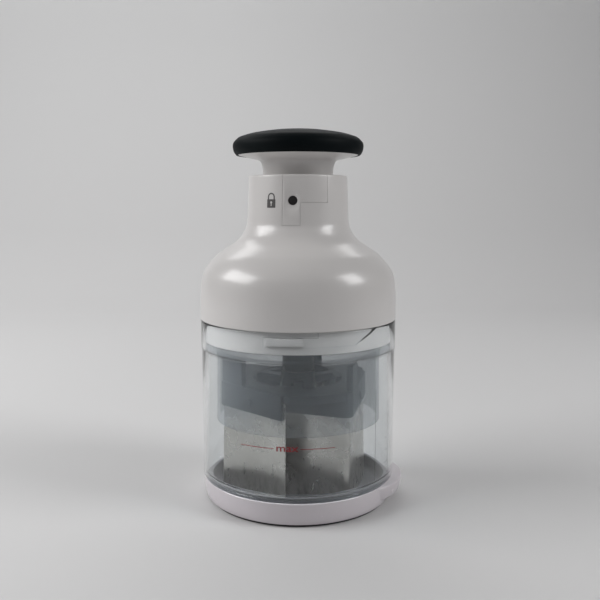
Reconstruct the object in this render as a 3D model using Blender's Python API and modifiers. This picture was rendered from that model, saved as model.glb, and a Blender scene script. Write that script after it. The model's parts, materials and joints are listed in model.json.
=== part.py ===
"""Push-down vegetable chopper, built as its separate pieces.

A clear cup stands on a white base cap with a grey mat.  A white housing locks
into the cup by a bayonet and carries a sprung plunger.  The plunger pushes a
shaft with three bent blades down through a hazy guard, and helical grooves on
the shaft turn the blades on every stroke.

Units are metres, +Z is up, the front faces -Y, and the origin is on the axis
at the level of the table.
"""
import math

import bmesh
import bpy
from mathutils import Matrix, Vector

# Clearances
SEAT_GAP = 0.0003
RUN_GAP = 0.0004
TIP_GAP = 0.0005
WELD = 0.00001
CUT_OVERRUN = 0.003

# Round resolution
STEPS_LARGE = 48
STEPS_MEDIUM = 36
STEPS_SMALL = 24
STEPS_SCREW = 10

# Main sizes
CUP_RADIUS = 0.048
CUP_RIM_Z = 0.0894
DOME_HEIGHT = 0.0487
NECK_HEIGHT = 0.0203
STROKE = 0.035
TURN_PER_STROKE = math.radians(60.0)

# Base cap and foot
FOOT_THICKNESS = 0.0008
FOOT_INSET = 0.0034
BASE_RIM_Z = 0.01165
BASE_RIM_INSET = 0.0007
BASE_UNDERCUT = 0.0020
BASE_WALL = 0.0012
BASE_FLOOR = 0.0024
TAB_REACH = 0.0052
TAB_ROUND_RADIUS = 0.030
TAB_DEPTH = 0.0072
TAB_DRAFT = 0.0016
BASE_BOTTOM_Z = FOOT_THICKNESS + SEAT_GAP
BASE_FLOOR_Z = BASE_BOTTOM_Z + BASE_FLOOR
BASE_RIM_RADIUS = CUP_RADIUS - BASE_RIM_INSET
BASE_INNER_RADIUS = BASE_RIM_RADIUS - BASE_WALL

# Cup
CUP_WALL = 0.0027
COLLAR_WALL = 0.0019
COLLAR_DEPTH = 0.0139
CUP_STEP = 0.0003
SPIGOT_WALL = 0.00135
SPIGOT_LENGTH = 0.0058
SPIGOT_BLEND = 0.0010
RIM_ROUND = 0.0004
LEDGE_Z = CUP_RIM_Z - COLLAR_DEPTH
CUP_SHOULDER_Z = BASE_RIM_Z + SEAT_GAP
CUP_BORE_RADIUS = CUP_RADIUS - CUP_STEP - CUP_WALL
COLLAR_BORE_RADIUS = CUP_RADIUS - COLLAR_WALL
SPIGOT_RADIUS = BASE_INNER_RADIUS - RUN_GAP
SPIGOT_BORE_RADIUS = SPIGOT_RADIUS - SPIGOT_WALL

# Mat and seal
MAT_THICKNESS = 0.0022
MAT_RIM_RISE = 0.00205
MAT_RIM_WALL = 0.0019
MAT_FILLET = 0.0034
SEAL_HEIGHT = 0.0034
SEAL_DEPTH = 0.0009
SEAL_DROP = 0.0008
SEAL_PROUD = 0.0002
MAT_BOTTOM_Z = BASE_FLOOR_Z + SEAT_GAP
MAT_TOP_Z = MAT_BOTTOM_Z + MAT_THICKNESS
MAT_RIM_Z = BASE_RIM_Z + MAT_RIM_RISE
MAT_RIM_RADIUS = SPIGOT_BORE_RADIUS - RUN_GAP - SEAL_PROUD

# Bayonet
LUG_COUNT = 3
LUG_CENTRE = math.radians(-1.75)
LUG_SPAN = math.radians(21.1)
LUG_DROP = 0.0062
LUG_HEIGHT = 0.0035
LUG_REACH = 0.0012
TWIST = math.radians(30.0)
GROOVE_END_PLAY = math.radians(1.0)
RAMP_SPAN = math.radians(15.5)
COLLAR_RING_WALL = 0.0026
COLLAR_RING_RISE = 0.0091
COLLAR_RING_STEP = 0.0003
LUG_BOTTOM_Z = CUP_RIM_Z - LUG_DROP
COLLAR_RING_TOP_Z = CUP_RIM_Z + COLLAR_RING_RISE
COLLAR_RING_RADIUS = COLLAR_BORE_RADIUS - RUN_GAP
LUG_RADIUS = COLLAR_RING_RADIUS + LUG_REACH

# Blade guard
GUARD_MARGIN = 0.0044
GUARD_WALL = 0.0015
GUARD_DROP = 0.0350
GUARD_FLANGE = 0.0032
GUARD_RADIUS = CUP_BORE_RADIUS - GUARD_MARGIN
GUARD_TOP_Z = LEDGE_Z + SEAT_GAP + GUARD_FLANGE
COLLAR_RING_BOTTOM_Z = GUARD_TOP_Z + SEAT_GAP

# Screws, pins and rivets
SCREW_HEAD_RADIUS = 0.0027
SCREW_HEAD = 0.0015
SCREW_SHANK_RADIUS = 0.0012
PILOT_RADIUS = SCREW_SHANK_RADIUS + RUN_GAP
HEAD_FLAT_SHARE = 0.7
HEAD_SIDE_SHARE = 0.5
CORE_SCREW_LENGTH = 0.0090
CORE_SCREW_COUNT = 3
KNOB_SCREW_COUNT = 4
AXIAL_SCREW_HEAD_RADIUS = 0.0070
AXIAL_SCREW_HEAD = 0.0012
AXIAL_SCREW_SHANK_RADIUS = 0.0020
AXIAL_SCREW_LENGTH = 0.0095
AXIAL_HOLE_DEPTH = AXIAL_SCREW_LENGTH + CUT_OVERRUN
PIN_COUNT = 3
PIN_RADIUS = 0.0013
PIN_REACH = 0.0011
RIVET_RADIUS = 0.0012
RIVET_HEAD_RADIUS = 0.0020
RIVET_HEAD = 0.0007

# Shaft
SHAFT_RADIUS = 0.0080
JOURNAL_STEP = 0.0030
GROOVE_HALF_WIDTH = 0.0020
GROOVE_DEPTH = 0.0016
JOURNAL_RADIUS = SHAFT_RADIUS - JOURNAL_STEP
TURN_RATE = TURN_PER_STROKE / STROKE

# Core with its guide tube, and the return spring around it
CORE_RISE = 0.0215
CORE_THICKNESS = 0.0025
CORE_SETBACK = 0.0120
CORE_HUB_WALL = 0.0046
CORE_HUB_DROP = 0.0060
GUIDE_WALL = 0.0025
GUIDE_PROUD = 0.0013
SPRING_ROOM = 0.0043
SPRING_WIRE = 0.0008
SPRING_CURL_COUNT = 9
HOUSING_BOTTOM_Z = CUP_RIM_Z + SEAT_GAP
NECK_BASE_Z = HOUSING_BOTTOM_Z + DOME_HEIGHT
NECK_TOP_Z = NECK_BASE_Z + NECK_HEIGHT
CORE_Z = HOUSING_BOTTOM_Z + CORE_RISE
CORE_TOP_Z = CORE_Z + CORE_THICKNESS
CORE_RADIUS = CUP_RADIUS - CORE_SETBACK
GUIDE_BORE_RADIUS = SHAFT_RADIUS + RUN_GAP
GUIDE_RADIUS = GUIDE_BORE_RADIUS + GUIDE_WALL
GUIDE_TOP_Z = NECK_TOP_Z + GUIDE_PROUD
CORE_HUB_RADIUS = GUIDE_BORE_RADIUS + CORE_HUB_WALL
SPRING_RADIUS = GUIDE_RADIUS + SPRING_ROOM / 2
PIN_Z = CORE_Z - CORE_HUB_DROP / 2

# Plunger sleeve, and the bush in the neck
SLEEVE_WALL = 0.0018
SLEEVE_LIFT = 0.0008
BUSH_WALL = 0.0035
BUSH_SINK = 0.0006
BUSH_FLANGE = 0.0014
BUSH_FLANGE_REACH = 0.0012
BUSH_FLANGE_DROP = 0.0019
BUSH_WEB = 0.0008
SLEEVE_BORE_RADIUS = GUIDE_RADIUS + SPRING_ROOM
SLEEVE_RADIUS = SLEEVE_BORE_RADIUS + SLEEVE_WALL
SLEEVE_BOTTOM_Z = CORE_TOP_Z + SLEEVE_LIFT
BUSH_BORE_RADIUS = SLEEVE_RADIUS + RUN_GAP
BUSH_RADIUS = BUSH_BORE_RADIUS + BUSH_WALL

# Housing
HOUSING_WALL = 0.0022
NECK_WALL = 0.00347
NECK_TAPER = 0.00083
NECK_BORE_DROP = 0.0059
NECK_EDGE_ROUND = 0.0009
BOSS_INSET = 0.0040
BOSS_RADIUS = 0.0032
NECK_BORE_RADIUS = BUSH_RADIUS + SEAT_GAP
NECK_RADIUS = NECK_BORE_RADIUS + NECK_WALL
NECK_BORE_END_Z = NECK_BASE_Z - NECK_BORE_DROP
BUSH_WALL_TOP_Z = NECK_TOP_Z - BUSH_SINK
BUSH_FLANGE_TOP_Z = NECK_BORE_END_Z - BUSH_FLANGE_DROP
BUSH_FLANGE_RADIUS = NECK_BORE_RADIUS + BUSH_FLANGE_REACH
BOSS_CIRCLE_RADIUS = CORE_RADIUS - BOSS_INSET

# Neck panel and lock button
PANEL_DEPTH = 0.00207
PANEL_LEFT = math.radians(-11.3)
PANEL_RIGHT = math.radians(40.0)
PANEL_NARROW_RIGHT = math.radians(8.0)
PANEL_WIDE_DROP = 0.0128
PANEL_LOW_DROP = 0.0233
PANEL_INSET = 0.0002
BUTTON_DROP = 0.0119
BUTTON_RADIUS = 0.00206
BUTTON_PROUD = 0.0011
BUTTON_FLANGE_REACH = 0.00114
BUTTON_FLANGE = 0.0008
BUTTON_TIP_RADIUS = 0.0014
BUTTON_TRAVEL = 0.0012
DIMPLE_RADIUS = 0.0045
DIMPLE_DEPTH = 0.0009
BUTTON_SPRING_INSET = 0.0009
BUTTON_SPRING_WIRE = 0.00018
BUTTON_SPRING_CURL_COUNT = 2
PANEL_BACK_RADIUS = NECK_RADIUS - PANEL_DEPTH
PANEL_WIDE_BOTTOM_Z = NECK_TOP_Z - PANEL_WIDE_DROP
PANEL_LOW_BOTTOM_Z = NECK_TOP_Z - PANEL_LOW_DROP
BUTTON_Z = NECK_TOP_Z - BUTTON_DROP
BUTTON_FLANGE_RADIUS = BUTTON_RADIUS + BUTTON_FLANGE_REACH
BUTTON_POCKET_RADIUS = BUTTON_FLANGE_RADIUS + RUN_GAP
BUTTON_SPRING_RADIUS = BUTTON_FLANGE_RADIUS - BUTTON_SPRING_INSET

# Flange, knob plate and pad
WEB_CLEARANCE = 0.0030
WEB_THICKNESS = 0.0025
FLARE_REACH = 0.0025
FLARE_RISE = 0.0033
COVE_HEIGHT = 0.0058
FLANGE_REACH = 0.0095
FLANGE_SLOPE_RISE = 0.0021
FLANGE_EDGE = 0.0026
FLANGE_WEB = 0.0024
PLATE_THICKNESS = 0.0042
KNOB_SCREW_OFFSET = 0.0015
PAD_WALL = 0.0022
PAD_SKIRT_DROP = 0.00005
PAD_ROOF = 0.0050
PAD_WALL_TOP = 0.0021
BEARING_WALL = 0.0027
BEARING_FLANGE = 0.0007
BEARING_FLANGE_REACH = 0.0015
JOURNAL_PROUD = 0.0002
WEB_Z = GUIDE_TOP_Z + WEB_CLEARANCE
FLARE_Z = WEB_Z + FLARE_RISE
FLARE_RADIUS = SLEEVE_RADIUS + FLARE_REACH
FLANGE_EDGE_Z = FLARE_Z + FLANGE_SLOPE_RISE
FLANGE_TOP_Z = FLANGE_EDGE_Z + FLANGE_EDGE
PLATE_BOTTOM_Z = FLANGE_TOP_Z + SEAT_GAP
PLATE_TOP_Z = PLATE_BOTTOM_Z + PLATE_THICKNESS
FLANGE_RADIUS = FLARE_RADIUS + FLANGE_REACH
KNOB_SCREW_CIRCLE_RADIUS = FLARE_RADIUS + KNOB_SCREW_OFFSET
PAD_RADIUS = FLANGE_RADIUS + SEAT_GAP + PAD_WALL
PAD_SKIRT_Z = FLANGE_EDGE_Z - PAD_SKIRT_DROP
PAD_TOP_Z = PLATE_TOP_Z + PAD_ROOF
BEARING_BORE_RADIUS = JOURNAL_RADIUS + SEAT_GAP
BEARING_RADIUS = BEARING_BORE_RADIUS + BEARING_WALL
BEARING_FLANGE_RADIUS = BEARING_RADIUS + BEARING_FLANGE_REACH
BEARING_FLANGE_TOP_Z = PLATE_BOTTOM_Z - SEAT_GAP
SHAFT_TOP_Z = BEARING_FLANGE_TOP_Z - BEARING_FLANGE - SEAT_GAP
JOURNAL_TOP_Z = PLATE_TOP_Z + JOURNAL_PROUD

# Blades and their carrier
BLADE_COUNT = 3
BLADE_THICKNESS = 0.0005
BLADE_MARGIN = 0.0009
BLADE_BEND_RADIUS = 0.0026
BLADE_FIRST_VERTEX = math.radians(-46.4)
LONG_LEG_ANGLE = math.radians(51.6)
SHORT_LEG_ANGLE = math.radians(31.9)
LONG_LEG_SHARE = 1.165
SHORT_LEG_SHARE = 0.995
CARRIER_HEADROOM = 0.0159
CARRIER_HEIGHT = 0.0115
CARRIER_WALL = 0.0031
LONG_WALL_SHARE = 0.97
SHORT_WALL_SHARE = 0.94
WHEEL_SETBACK = 0.0003
WHEEL_WIDTH = 0.0156
WHEEL_DROP = 0.0034
WHEEL_THICKNESS = 0.0036
SPOKE_WIDTH = 0.0050
SPOKE_RELIEF = 0.0002
SPOKE_TURN = math.radians(-38.0)
HUB_WALL = 0.0032
HUB_RISE = 0.0037
HUB_HEIGHT = 0.0122
FIN_START = 0.0020
FIN_END = 0.0165
FIN_RISE = 0.0118
BLADE_DROP = 0.0038
RIVET_RISE = 0.0048
RIVET_SHARE = 0.5
BLADE_TIP_Z = MAT_TOP_Z + TIP_GAP
BLADE_VERTEX_RADIUS = GUARD_RADIUS - GUARD_WALL - BLADE_MARGIN
LONG_LEG = BLADE_VERTEX_RADIUS * LONG_LEG_SHARE
SHORT_LEG = BLADE_VERTEX_RADIUS * SHORT_LEG_SHARE
CARRIER_TOP_Z = CORE_Z - SEAT_GAP - SCREW_HEAD - STROKE - CARRIER_HEADROOM
CARRIER_BOTTOM_Z = CARRIER_TOP_Z - CARRIER_HEIGHT
BLADE_TOP_Z = CARRIER_TOP_Z - BLADE_DROP
WHEEL_OUTER_RADIUS = BLADE_VERTEX_RADIUS - WHEEL_SETBACK
WHEEL_INNER_RADIUS = WHEEL_OUTER_RADIUS - WHEEL_WIDTH
WHEEL_BOTTOM_Z = CARRIER_TOP_Z - WHEEL_DROP
HUB_RADIUS = JOURNAL_RADIUS + SEAT_GAP + HUB_WALL
HUB_TOP_Z = CARRIER_TOP_Z + HUB_RISE
HUB_BOTTOM_Z = HUB_TOP_Z - HUB_HEIGHT
SPIGOT_BOTTOM_Z = HUB_BOTTOM_Z + SEAT_GAP
RIVET_Z = CARRIER_BOTTOM_Z + RIVET_RISE

# Shares of the dome's outline: radius from neck to cup, height from rim to neck
DOME_SHARES = (
    (0.000, 1.000),
    (0.016, 0.935),
    (0.060, 0.881),
    (0.136, 0.821),
    (0.262, 0.762),
    (0.451, 0.702),
    (0.623, 0.645),
    (0.752, 0.585),
    (0.852, 0.526),
    (0.920, 0.468),
    (0.960, 0.407),
    (0.984, 0.335),
    (1.000, 0.228),
    (1.000, 0.000),
)

# Shares of the pad's outline: its largest radius, height from skirt to top
PAD_SHARES = (
    (0.000, 1.000),
    (0.200, 0.996),
    (0.400, 0.967),
    (0.640, 0.877),
    (0.800, 0.786),
    (0.920, 0.671),
    (0.983, 0.510),
    (1.000, 0.364),
    (0.990, 0.180),
    (0.965, 0.055),
    (0.945, 0.000),
)

# Shares of the cove under the flange: radius from sleeve to flare, height of the cove
COVE_SHARES = (
    (1.000, 1.000),
    (0.480, 0.860),
    (0.200, 0.600),
    (0.060, 0.300),
    (0.000, 0.000),
)

# Shares of the base's side: radius across its undercut, height from bottom to rim
BASE_SIDE_SHARES = (
    (1.000, 1.000),
    (0.920, 0.700),
    (0.780, 0.420),
    (0.590, 0.200),
    (0.320, 0.050),
    (0.000, 0.000),
)


def remove_everything():
    """Clear the scene, so that the script can be run again."""
    for obj in list(bpy.data.objects):
        bpy.data.objects.remove(obj, do_unlink=True)
    for coll in list(bpy.data.collections):
        bpy.data.collections.remove(coll)


def add_collection(name):
    coll = bpy.data.collections.new(name)
    bpy.context.scene.collection.children.link(coll)
    return coll


def add_material(name, colour, roughness, metallic=0.0, alpha=1.0):
    mat = bpy.data.materials.new(name)
    mat.use_nodes = True
    shader = mat.node_tree.nodes["Principled BSDF"]
    shader.inputs["Base Color"].default_value = (*colour, 1.0)
    shader.inputs["Roughness"].default_value = roughness
    shader.inputs["Metallic"].default_value = metallic
    shader.inputs["Alpha"].default_value = alpha
    return mat


remove_everything()
PARTS = add_collection("vegetable_chopper")
CUTTERS = add_collection("cutters")
FRAMES = add_collection("frames")

WHITE_GLOSS = add_material("white_gloss_plastic", (0.80, 0.79, 0.77), 0.18)
BASE_WHITE = add_material("base_white_plastic", (0.78, 0.74, 0.77), 0.30)
PAD_RUBBER = add_material("pad_black_rubber", (0.010, 0.018, 0.020), 0.55)
FOOT_RUBBER = add_material("foot_black_rubber", (0.012, 0.012, 0.013), 0.60)
MAT_GREY = add_material("mat_grey_rubber", (0.16, 0.16, 0.17), 0.65)
SEAL_DARK = add_material("seal_dark_rubber", (0.03, 0.03, 0.035), 0.50)
CLEAR_CUP = add_material("clear_cup_plastic", (0.90, 0.94, 0.95), 0.05, 0.0, 0.25)
SMOKY_GUARD = add_material("smoky_guard_plastic", (0.42, 0.46, 0.50), 0.20, 0.0, 0.45)
CARRIER_SLATE = add_material("carrier_slate_plastic", (0.045, 0.060, 0.072), 0.40)
BLADE_STEEL = add_material("blade_steel", (0.62, 0.61, 0.58), 0.22, 1.0)
BRIGHT_STEEL = add_material("bright_steel", (0.70, 0.70, 0.70), 0.25, 1.0)
NYLON = add_material("natural_nylon", (0.72, 0.71, 0.66), 0.45)
BUTTON_BLACK = add_material("button_black_plastic", (0.015, 0.014, 0.014), 0.35)


def add_frame(name, location=(0.0, 0.0, 0.0), parent=None):
    """Empty on a joint's axis, which carries the pieces that move with it."""
    frame = bpy.data.objects.new(name, None)
    frame.location = location
    FRAMES.objects.link(frame)
    frame.parent = parent
    return frame


BASE_FRAME = add_frame("base_frame")
CUP_FRAME = add_frame("cup_lift_frame", parent=BASE_FRAME)
HOUSING_FRAME = add_frame("housing_twist_frame", parent=CUP_FRAME)
BUTTON_FRAME = add_frame("button_press_frame", (0.0, 0.0, BUTTON_Z), HOUSING_FRAME)
PLUNGER_FRAME = add_frame("plunger_slide_frame", parent=HOUSING_FRAME)
ROTOR_FRAME = add_frame("rotor_turn_frame", parent=PLUNGER_FRAME)


def shade_round(mesh):
    mesh.shade_smooth()
    mesh.set_sharp_from_angle(angle=math.radians(35.0))


def add_object(name, mesh, material, frame):
    """Put a mesh in the model, or among the cutters when it has no material."""
    obj = bpy.data.objects.new(name, mesh)
    if material is None:
        CUTTERS.objects.link(obj)
        obj.hide_render = True
        obj.display_type = "WIRE"
    else:
        PARTS.objects.link(obj)
        obj.data.materials.append(material)
        obj.parent = frame
    return obj


def mesh_from(name, bm, smooth=True):
    bmesh.ops.recalc_face_normals(bm, faces=bm.faces)
    mesh = bpy.data.meshes.new(name)
    bm.to_mesh(mesh)
    bm.free()
    if smooth:
        shade_round(mesh)
    return mesh


def turned(name, profile, steps, material=None, frame=None, closed=False):
    """Turn an outline of (radius, height) points about the Z axis.

    An open outline starts and ends on the axis.  A closed one is a ring that
    goes down its outer side and back up its inner side.
    """
    mesh = bpy.data.meshes.new(name)
    points = [(radius, 0.0, height) for radius, height in profile]
    edges = [(i, i + 1) for i in range(len(points) - 1)]
    if closed:
        edges.append((len(points) - 1, 0))
    mesh.from_pydata(points, edges, [])
    obj = add_object(name, mesh, material, frame)
    screw = obj.modifiers.new("turn", "SCREW")
    screw.axis = "Z"
    screw.angle = math.tau
    screw.steps = steps
    screw.render_steps = steps
    screw.use_smooth_shade = True
    screw.use_merge_vertices = True
    screw.merge_threshold = WELD
    weld = obj.modifiers.new("weld", "WELD")
    weld.merge_threshold = WELD
    return obj


def sector(name, profile, start, span, steps, rise=0.0, material=None, frame=None):
    """Sweep a closed outline about Z from an azimuth, rising on the way if asked."""
    bm = bmesh.new()
    verts = [bm.verts.new((radius, 0.0, height)) for radius, height in profile]
    face = bm.faces.new(verts)
    bmesh.ops.rotate(bm, verts=verts, cent=(0.0, 0.0, 0.0), matrix=Matrix.Rotation(start, 3, "Z"))
    bmesh.ops.spin(
        bm,
        geom=[face, *face.edges, *face.verts],
        cent=(0.0, 0.0, 0.0),
        axis=(0.0, 0.0, 1.0),
        dvec=(0.0, 0.0, rise / steps),
        angle=span,
        steps=steps,
    )
    return add_object(name, mesh_from(name, bm), material, frame)


def add_cylinder(bm, radius, depth, steps, matrix, top_radius=None):
    """One capped cylinder or cone in a bmesh, centred on the matrix."""
    return bmesh.ops.create_cone(
        bm,
        cap_ends=True,
        segments=steps,
        radius1=radius,
        radius2=radius if top_radius is None else top_radius,
        depth=depth,
        matrix=matrix,
    )


def add_block(bm, size, matrix):
    return bmesh.ops.create_cube(bm, size=1.0, matrix=matrix @ Matrix.Diagonal((*size, 1.0)))


def boolean(obj, other, operation="DIFFERENCE"):
    mod = obj.modifiers.new(operation.lower() + "_" + other.name, "BOOLEAN")
    mod.operation = operation
    mod.solver = "EXACT"
    mod.object = other
    return mod


def front(azimuth):
    """Angle about Z of an azimuth that is measured from the front, to the right."""
    return azimuth - math.pi / 2


def turn_z(angle):
    return Matrix.Rotation(angle, 4, "Z")


def place(x, y, z):
    return Matrix.Translation((x, y, z))


def around(count, start=0.0):
    return [start + math.tau * k / count for k in range(count)]


def offset_outline(points, distance):
    """Move an outline that runs down its outer side towards the axis by a distance."""
    moved = []
    for i, point in enumerate(points):
        before = Vector(points[max(i - 1, 0)])
        after = Vector(points[min(i + 1, len(points) - 1)])
        along = (after - before).normalized()
        inward = Vector((along.y, -along.x))
        if inward.x > 0:
            inward = -inward
        moved.append((point[0] + inward.x * distance, point[1] + inward.y * distance))
    return moved


def rectangle(inner, outer, bottom, top):
    return [(outer, top), (outer, bottom), (inner, bottom), (inner, top)]


def base_side():
    """Outer side of the base cap, from its rim down to its bottom."""
    height = BASE_RIM_Z - BASE_BOTTOM_Z
    bottom_radius = BASE_RIM_RADIUS - BASE_UNDERCUT
    return [
        (bottom_radius + BASE_UNDERCUT * r_share, BASE_BOTTOM_Z + height * h_share)
        for r_share, h_share in BASE_SIDE_SHARES
    ]


def build_base_cap():
    profile = [(0.0, BASE_RIM_Z), *base_side(), (0.0, BASE_BOTTOM_Z)]
    cap = turned("base_cap", profile, STEPS_LARGE, BASE_WHITE, BASE_FRAME)
    reach = BASE_RIM_RADIUS + TAB_REACH
    bm = bmesh.new()
    tab_top_z = BASE_RIM_Z - SEAT_GAP
    add_cylinder(
        bm,
        TAB_ROUND_RADIUS - TAB_DRAFT,
        TAB_DEPTH,
        STEPS_LARGE,
        place(reach - TAB_ROUND_RADIUS, 0.0, tab_top_z - TAB_DEPTH / 2),
        TAB_ROUND_RADIUS,
    )
    tab = add_object("tab_form", mesh_from("tab_form", bm), None, None)
    boolean(cap, tab, "UNION")
    hollow = turned(
        "base_hollow",
        [
            (0.0, BASE_RIM_Z + CUT_OVERRUN),
            (BASE_INNER_RADIUS, BASE_RIM_Z + CUT_OVERRUN),
            (BASE_INNER_RADIUS, BASE_FLOOR_Z + BASE_WALL),
            (BASE_INNER_RADIUS - BASE_WALL, BASE_FLOOR_Z),
            (0.0, BASE_FLOOR_Z),
        ],
        STEPS_LARGE,
    )
    boolean(cap, hollow)
    return cap


def build_foot():
    radius = CUP_RADIUS - FOOT_INSET
    edge = FOOT_THICKNESS / 4
    profile = [
        (0.0, FOOT_THICKNESS),
        (radius, FOOT_THICKNESS),
        (radius, edge),
        (radius - edge, 0.0),
        (0.0, 0.0),
    ]
    return turned("nonslip_foot", profile, STEPS_LARGE, FOOT_RUBBER, BASE_FRAME)


def build_mat():
    inner = MAT_RIM_RADIUS - MAT_RIM_WALL
    seal_top = MAT_RIM_Z - SEAL_DROP
    seal_bottom = seal_top - SEAL_HEIGHT
    groove = MAT_RIM_RADIUS - SEAL_DEPTH
    arc = [
        (inner - MAT_FILLET * (1 - math.cos(a)), MAT_TOP_Z + MAT_FILLET * (1 - math.sin(a)))
        for a in (0.0, math.pi / 6, math.pi / 3, math.pi / 2)
    ]
    profile = [
        (0.0, MAT_TOP_Z),
        *reversed(arc),
        (inner, MAT_RIM_Z),
        (MAT_RIM_RADIUS, MAT_RIM_Z),
        (MAT_RIM_RADIUS, seal_top),
        (groove, seal_top),
        (groove, seal_bottom),
        (MAT_RIM_RADIUS, seal_bottom),
        (MAT_RIM_RADIUS, MAT_BOTTOM_Z),
        (0.0, MAT_BOTTOM_Z),
    ]
    turned("base_mat", profile, STEPS_LARGE, MAT_GREY, BASE_FRAME)
    proud = MAT_RIM_RADIUS + SEAL_PROUD
    ring = rectangle(groove + SEAT_GAP, proud, seal_bottom + SEAT_GAP, seal_top - SEAT_GAP)
    return turned("cup_seal", ring, STEPS_LARGE, SEAL_DARK, BASE_FRAME, closed=True)


def groove_cutter(k):
    """Bayonet groove in the cup: a level run, a mouth to the rim and a slanted side."""
    groove_radius = LUG_RADIUS + RUN_GAP
    inner = COLLAR_BORE_RADIUS - CUT_OVERRUN
    low = LUG_BOTTOM_Z - RUN_GAP
    high = LUG_BOTTOM_Z + LUG_HEIGHT + RUN_GAP
    top = CUP_RIM_Z + CUT_OVERRUN
    turn = math.tau * k / LUG_COUNT
    start = LUG_CENTRE - LUG_SPAN / 2 - GROOVE_END_PLAY + turn
    mouth = start + TWIST
    mouth_span = LUG_SPAN + 2 * GROOVE_END_PLAY
    run = sector(
        f"groove_run_{k}", rectangle(inner, groove_radius, low, high), front(start), TWIST + mouth_span, 8
    )
    gate = sector(
        f"groove_mouth_{k}", rectangle(inner, groove_radius, low, top), front(mouth), mouth_span, 4
    )
    ramp = sector(
        f"groove_ramp_{k}",
        rectangle(inner, groove_radius, low, top),
        front(mouth + mouth_span - GROOVE_END_PLAY),
        RAMP_SPAN + GROOVE_END_PLAY,
        3,
        CUP_RIM_Z - low,
    )
    return run, gate, ramp


def build_cup():
    body = CUP_RADIUS - CUP_STEP
    profile = [
        (CUP_RADIUS - RIM_ROUND, CUP_RIM_Z),
        (CUP_RADIUS, CUP_RIM_Z - RIM_ROUND),
        (CUP_RADIUS, LEDGE_Z),
        (body, LEDGE_Z - CUP_STEP),
        (body, CUP_SHOULDER_Z + SPIGOT_BLEND),
        (BASE_RIM_RADIUS, CUP_SHOULDER_Z),
        (SPIGOT_RADIUS, CUP_SHOULDER_Z),
        (SPIGOT_RADIUS, CUP_SHOULDER_Z - SPIGOT_LENGTH),
        (SPIGOT_BORE_RADIUS, CUP_SHOULDER_Z - SPIGOT_LENGTH),
        (SPIGOT_BORE_RADIUS, MAT_RIM_Z + SPIGOT_BLEND),
        (CUP_BORE_RADIUS, MAT_RIM_Z + SPIGOT_BLEND + SPIGOT_BLEND),
        (CUP_BORE_RADIUS, LEDGE_Z),
        (COLLAR_BORE_RADIUS, LEDGE_Z),
        (COLLAR_BORE_RADIUS, CUP_RIM_Z),
    ]
    cup = turned("cup", profile, STEPS_LARGE, CLEAR_CUP, CUP_FRAME, closed=True)
    for k in range(LUG_COUNT):
        for cutter in groove_cutter(k):
            boolean(cup, cutter)
    return cup


def build_guard():
    flange = COLLAR_BORE_RADIUS - SEAT_GAP
    bottom = LEDGE_Z - GUARD_DROP
    profile = [
        (flange, GUARD_TOP_Z),
        (flange, LEDGE_Z + SEAT_GAP),
        (GUARD_RADIUS, LEDGE_Z + SEAT_GAP),
        (GUARD_RADIUS, bottom),
        (GUARD_RADIUS - GUARD_WALL, bottom),
        (GUARD_RADIUS - GUARD_WALL, GUARD_TOP_Z),
    ]
    return turned("blade_guard", profile, STEPS_LARGE, SMOKY_GUARD, CUP_FRAME, closed=True)


def build_lock_collar():
    upper = CUP_RADIUS - HOUSING_WALL - COLLAR_RING_STEP
    inner = COLLAR_RING_RADIUS - COLLAR_RING_WALL
    profile = [
        (upper, COLLAR_RING_TOP_Z),
        (upper, CUP_RIM_Z),
        (COLLAR_RING_RADIUS, CUP_RIM_Z),
        (COLLAR_RING_RADIUS, COLLAR_RING_BOTTOM_Z),
        (inner, COLLAR_RING_BOTTOM_Z),
        (inner, COLLAR_RING_TOP_Z),
    ]
    collar = turned("lock_collar", profile, STEPS_LARGE, WHITE_GLOSS, HOUSING_FRAME, closed=True)
    lug = rectangle(
        COLLAR_RING_RADIUS - COLLAR_RING_WALL / 2, LUG_RADIUS, LUG_BOTTOM_Z, LUG_BOTTOM_Z + LUG_HEIGHT
    )
    for k, turn in enumerate(around(LUG_COUNT)):
        start = front(LUG_CENTRE - LUG_SPAN / 2 + turn)
        boolean(collar, sector(f"lug_{k}", lug, start, LUG_SPAN, 4), "UNION")
    return collar


def neck_side(inset=0.0):
    """Outer side of the neck, from its rounded top edge down to the dome."""
    top_radius = NECK_RADIUS - NECK_TAPER
    return [
        (top_radius - NECK_EDGE_ROUND - inset, NECK_TOP_Z),
        (top_radius - NECK_EDGE_ROUND / 4 - inset, NECK_TOP_Z - NECK_EDGE_ROUND / 4),
        (top_radius - inset, NECK_TOP_Z - NECK_EDGE_ROUND),
    ]


def dome_side():
    """Outer side of the dome, from the neck down to the cup's rim."""
    height = NECK_BASE_Z - HOUSING_BOTTOM_Z
    return [
        (NECK_RADIUS + (CUP_RADIUS - NECK_RADIUS) * r_share, HOUSING_BOTTOM_Z + height * h_share)
        for r_share, h_share in DOME_SHARES
    ]


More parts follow.
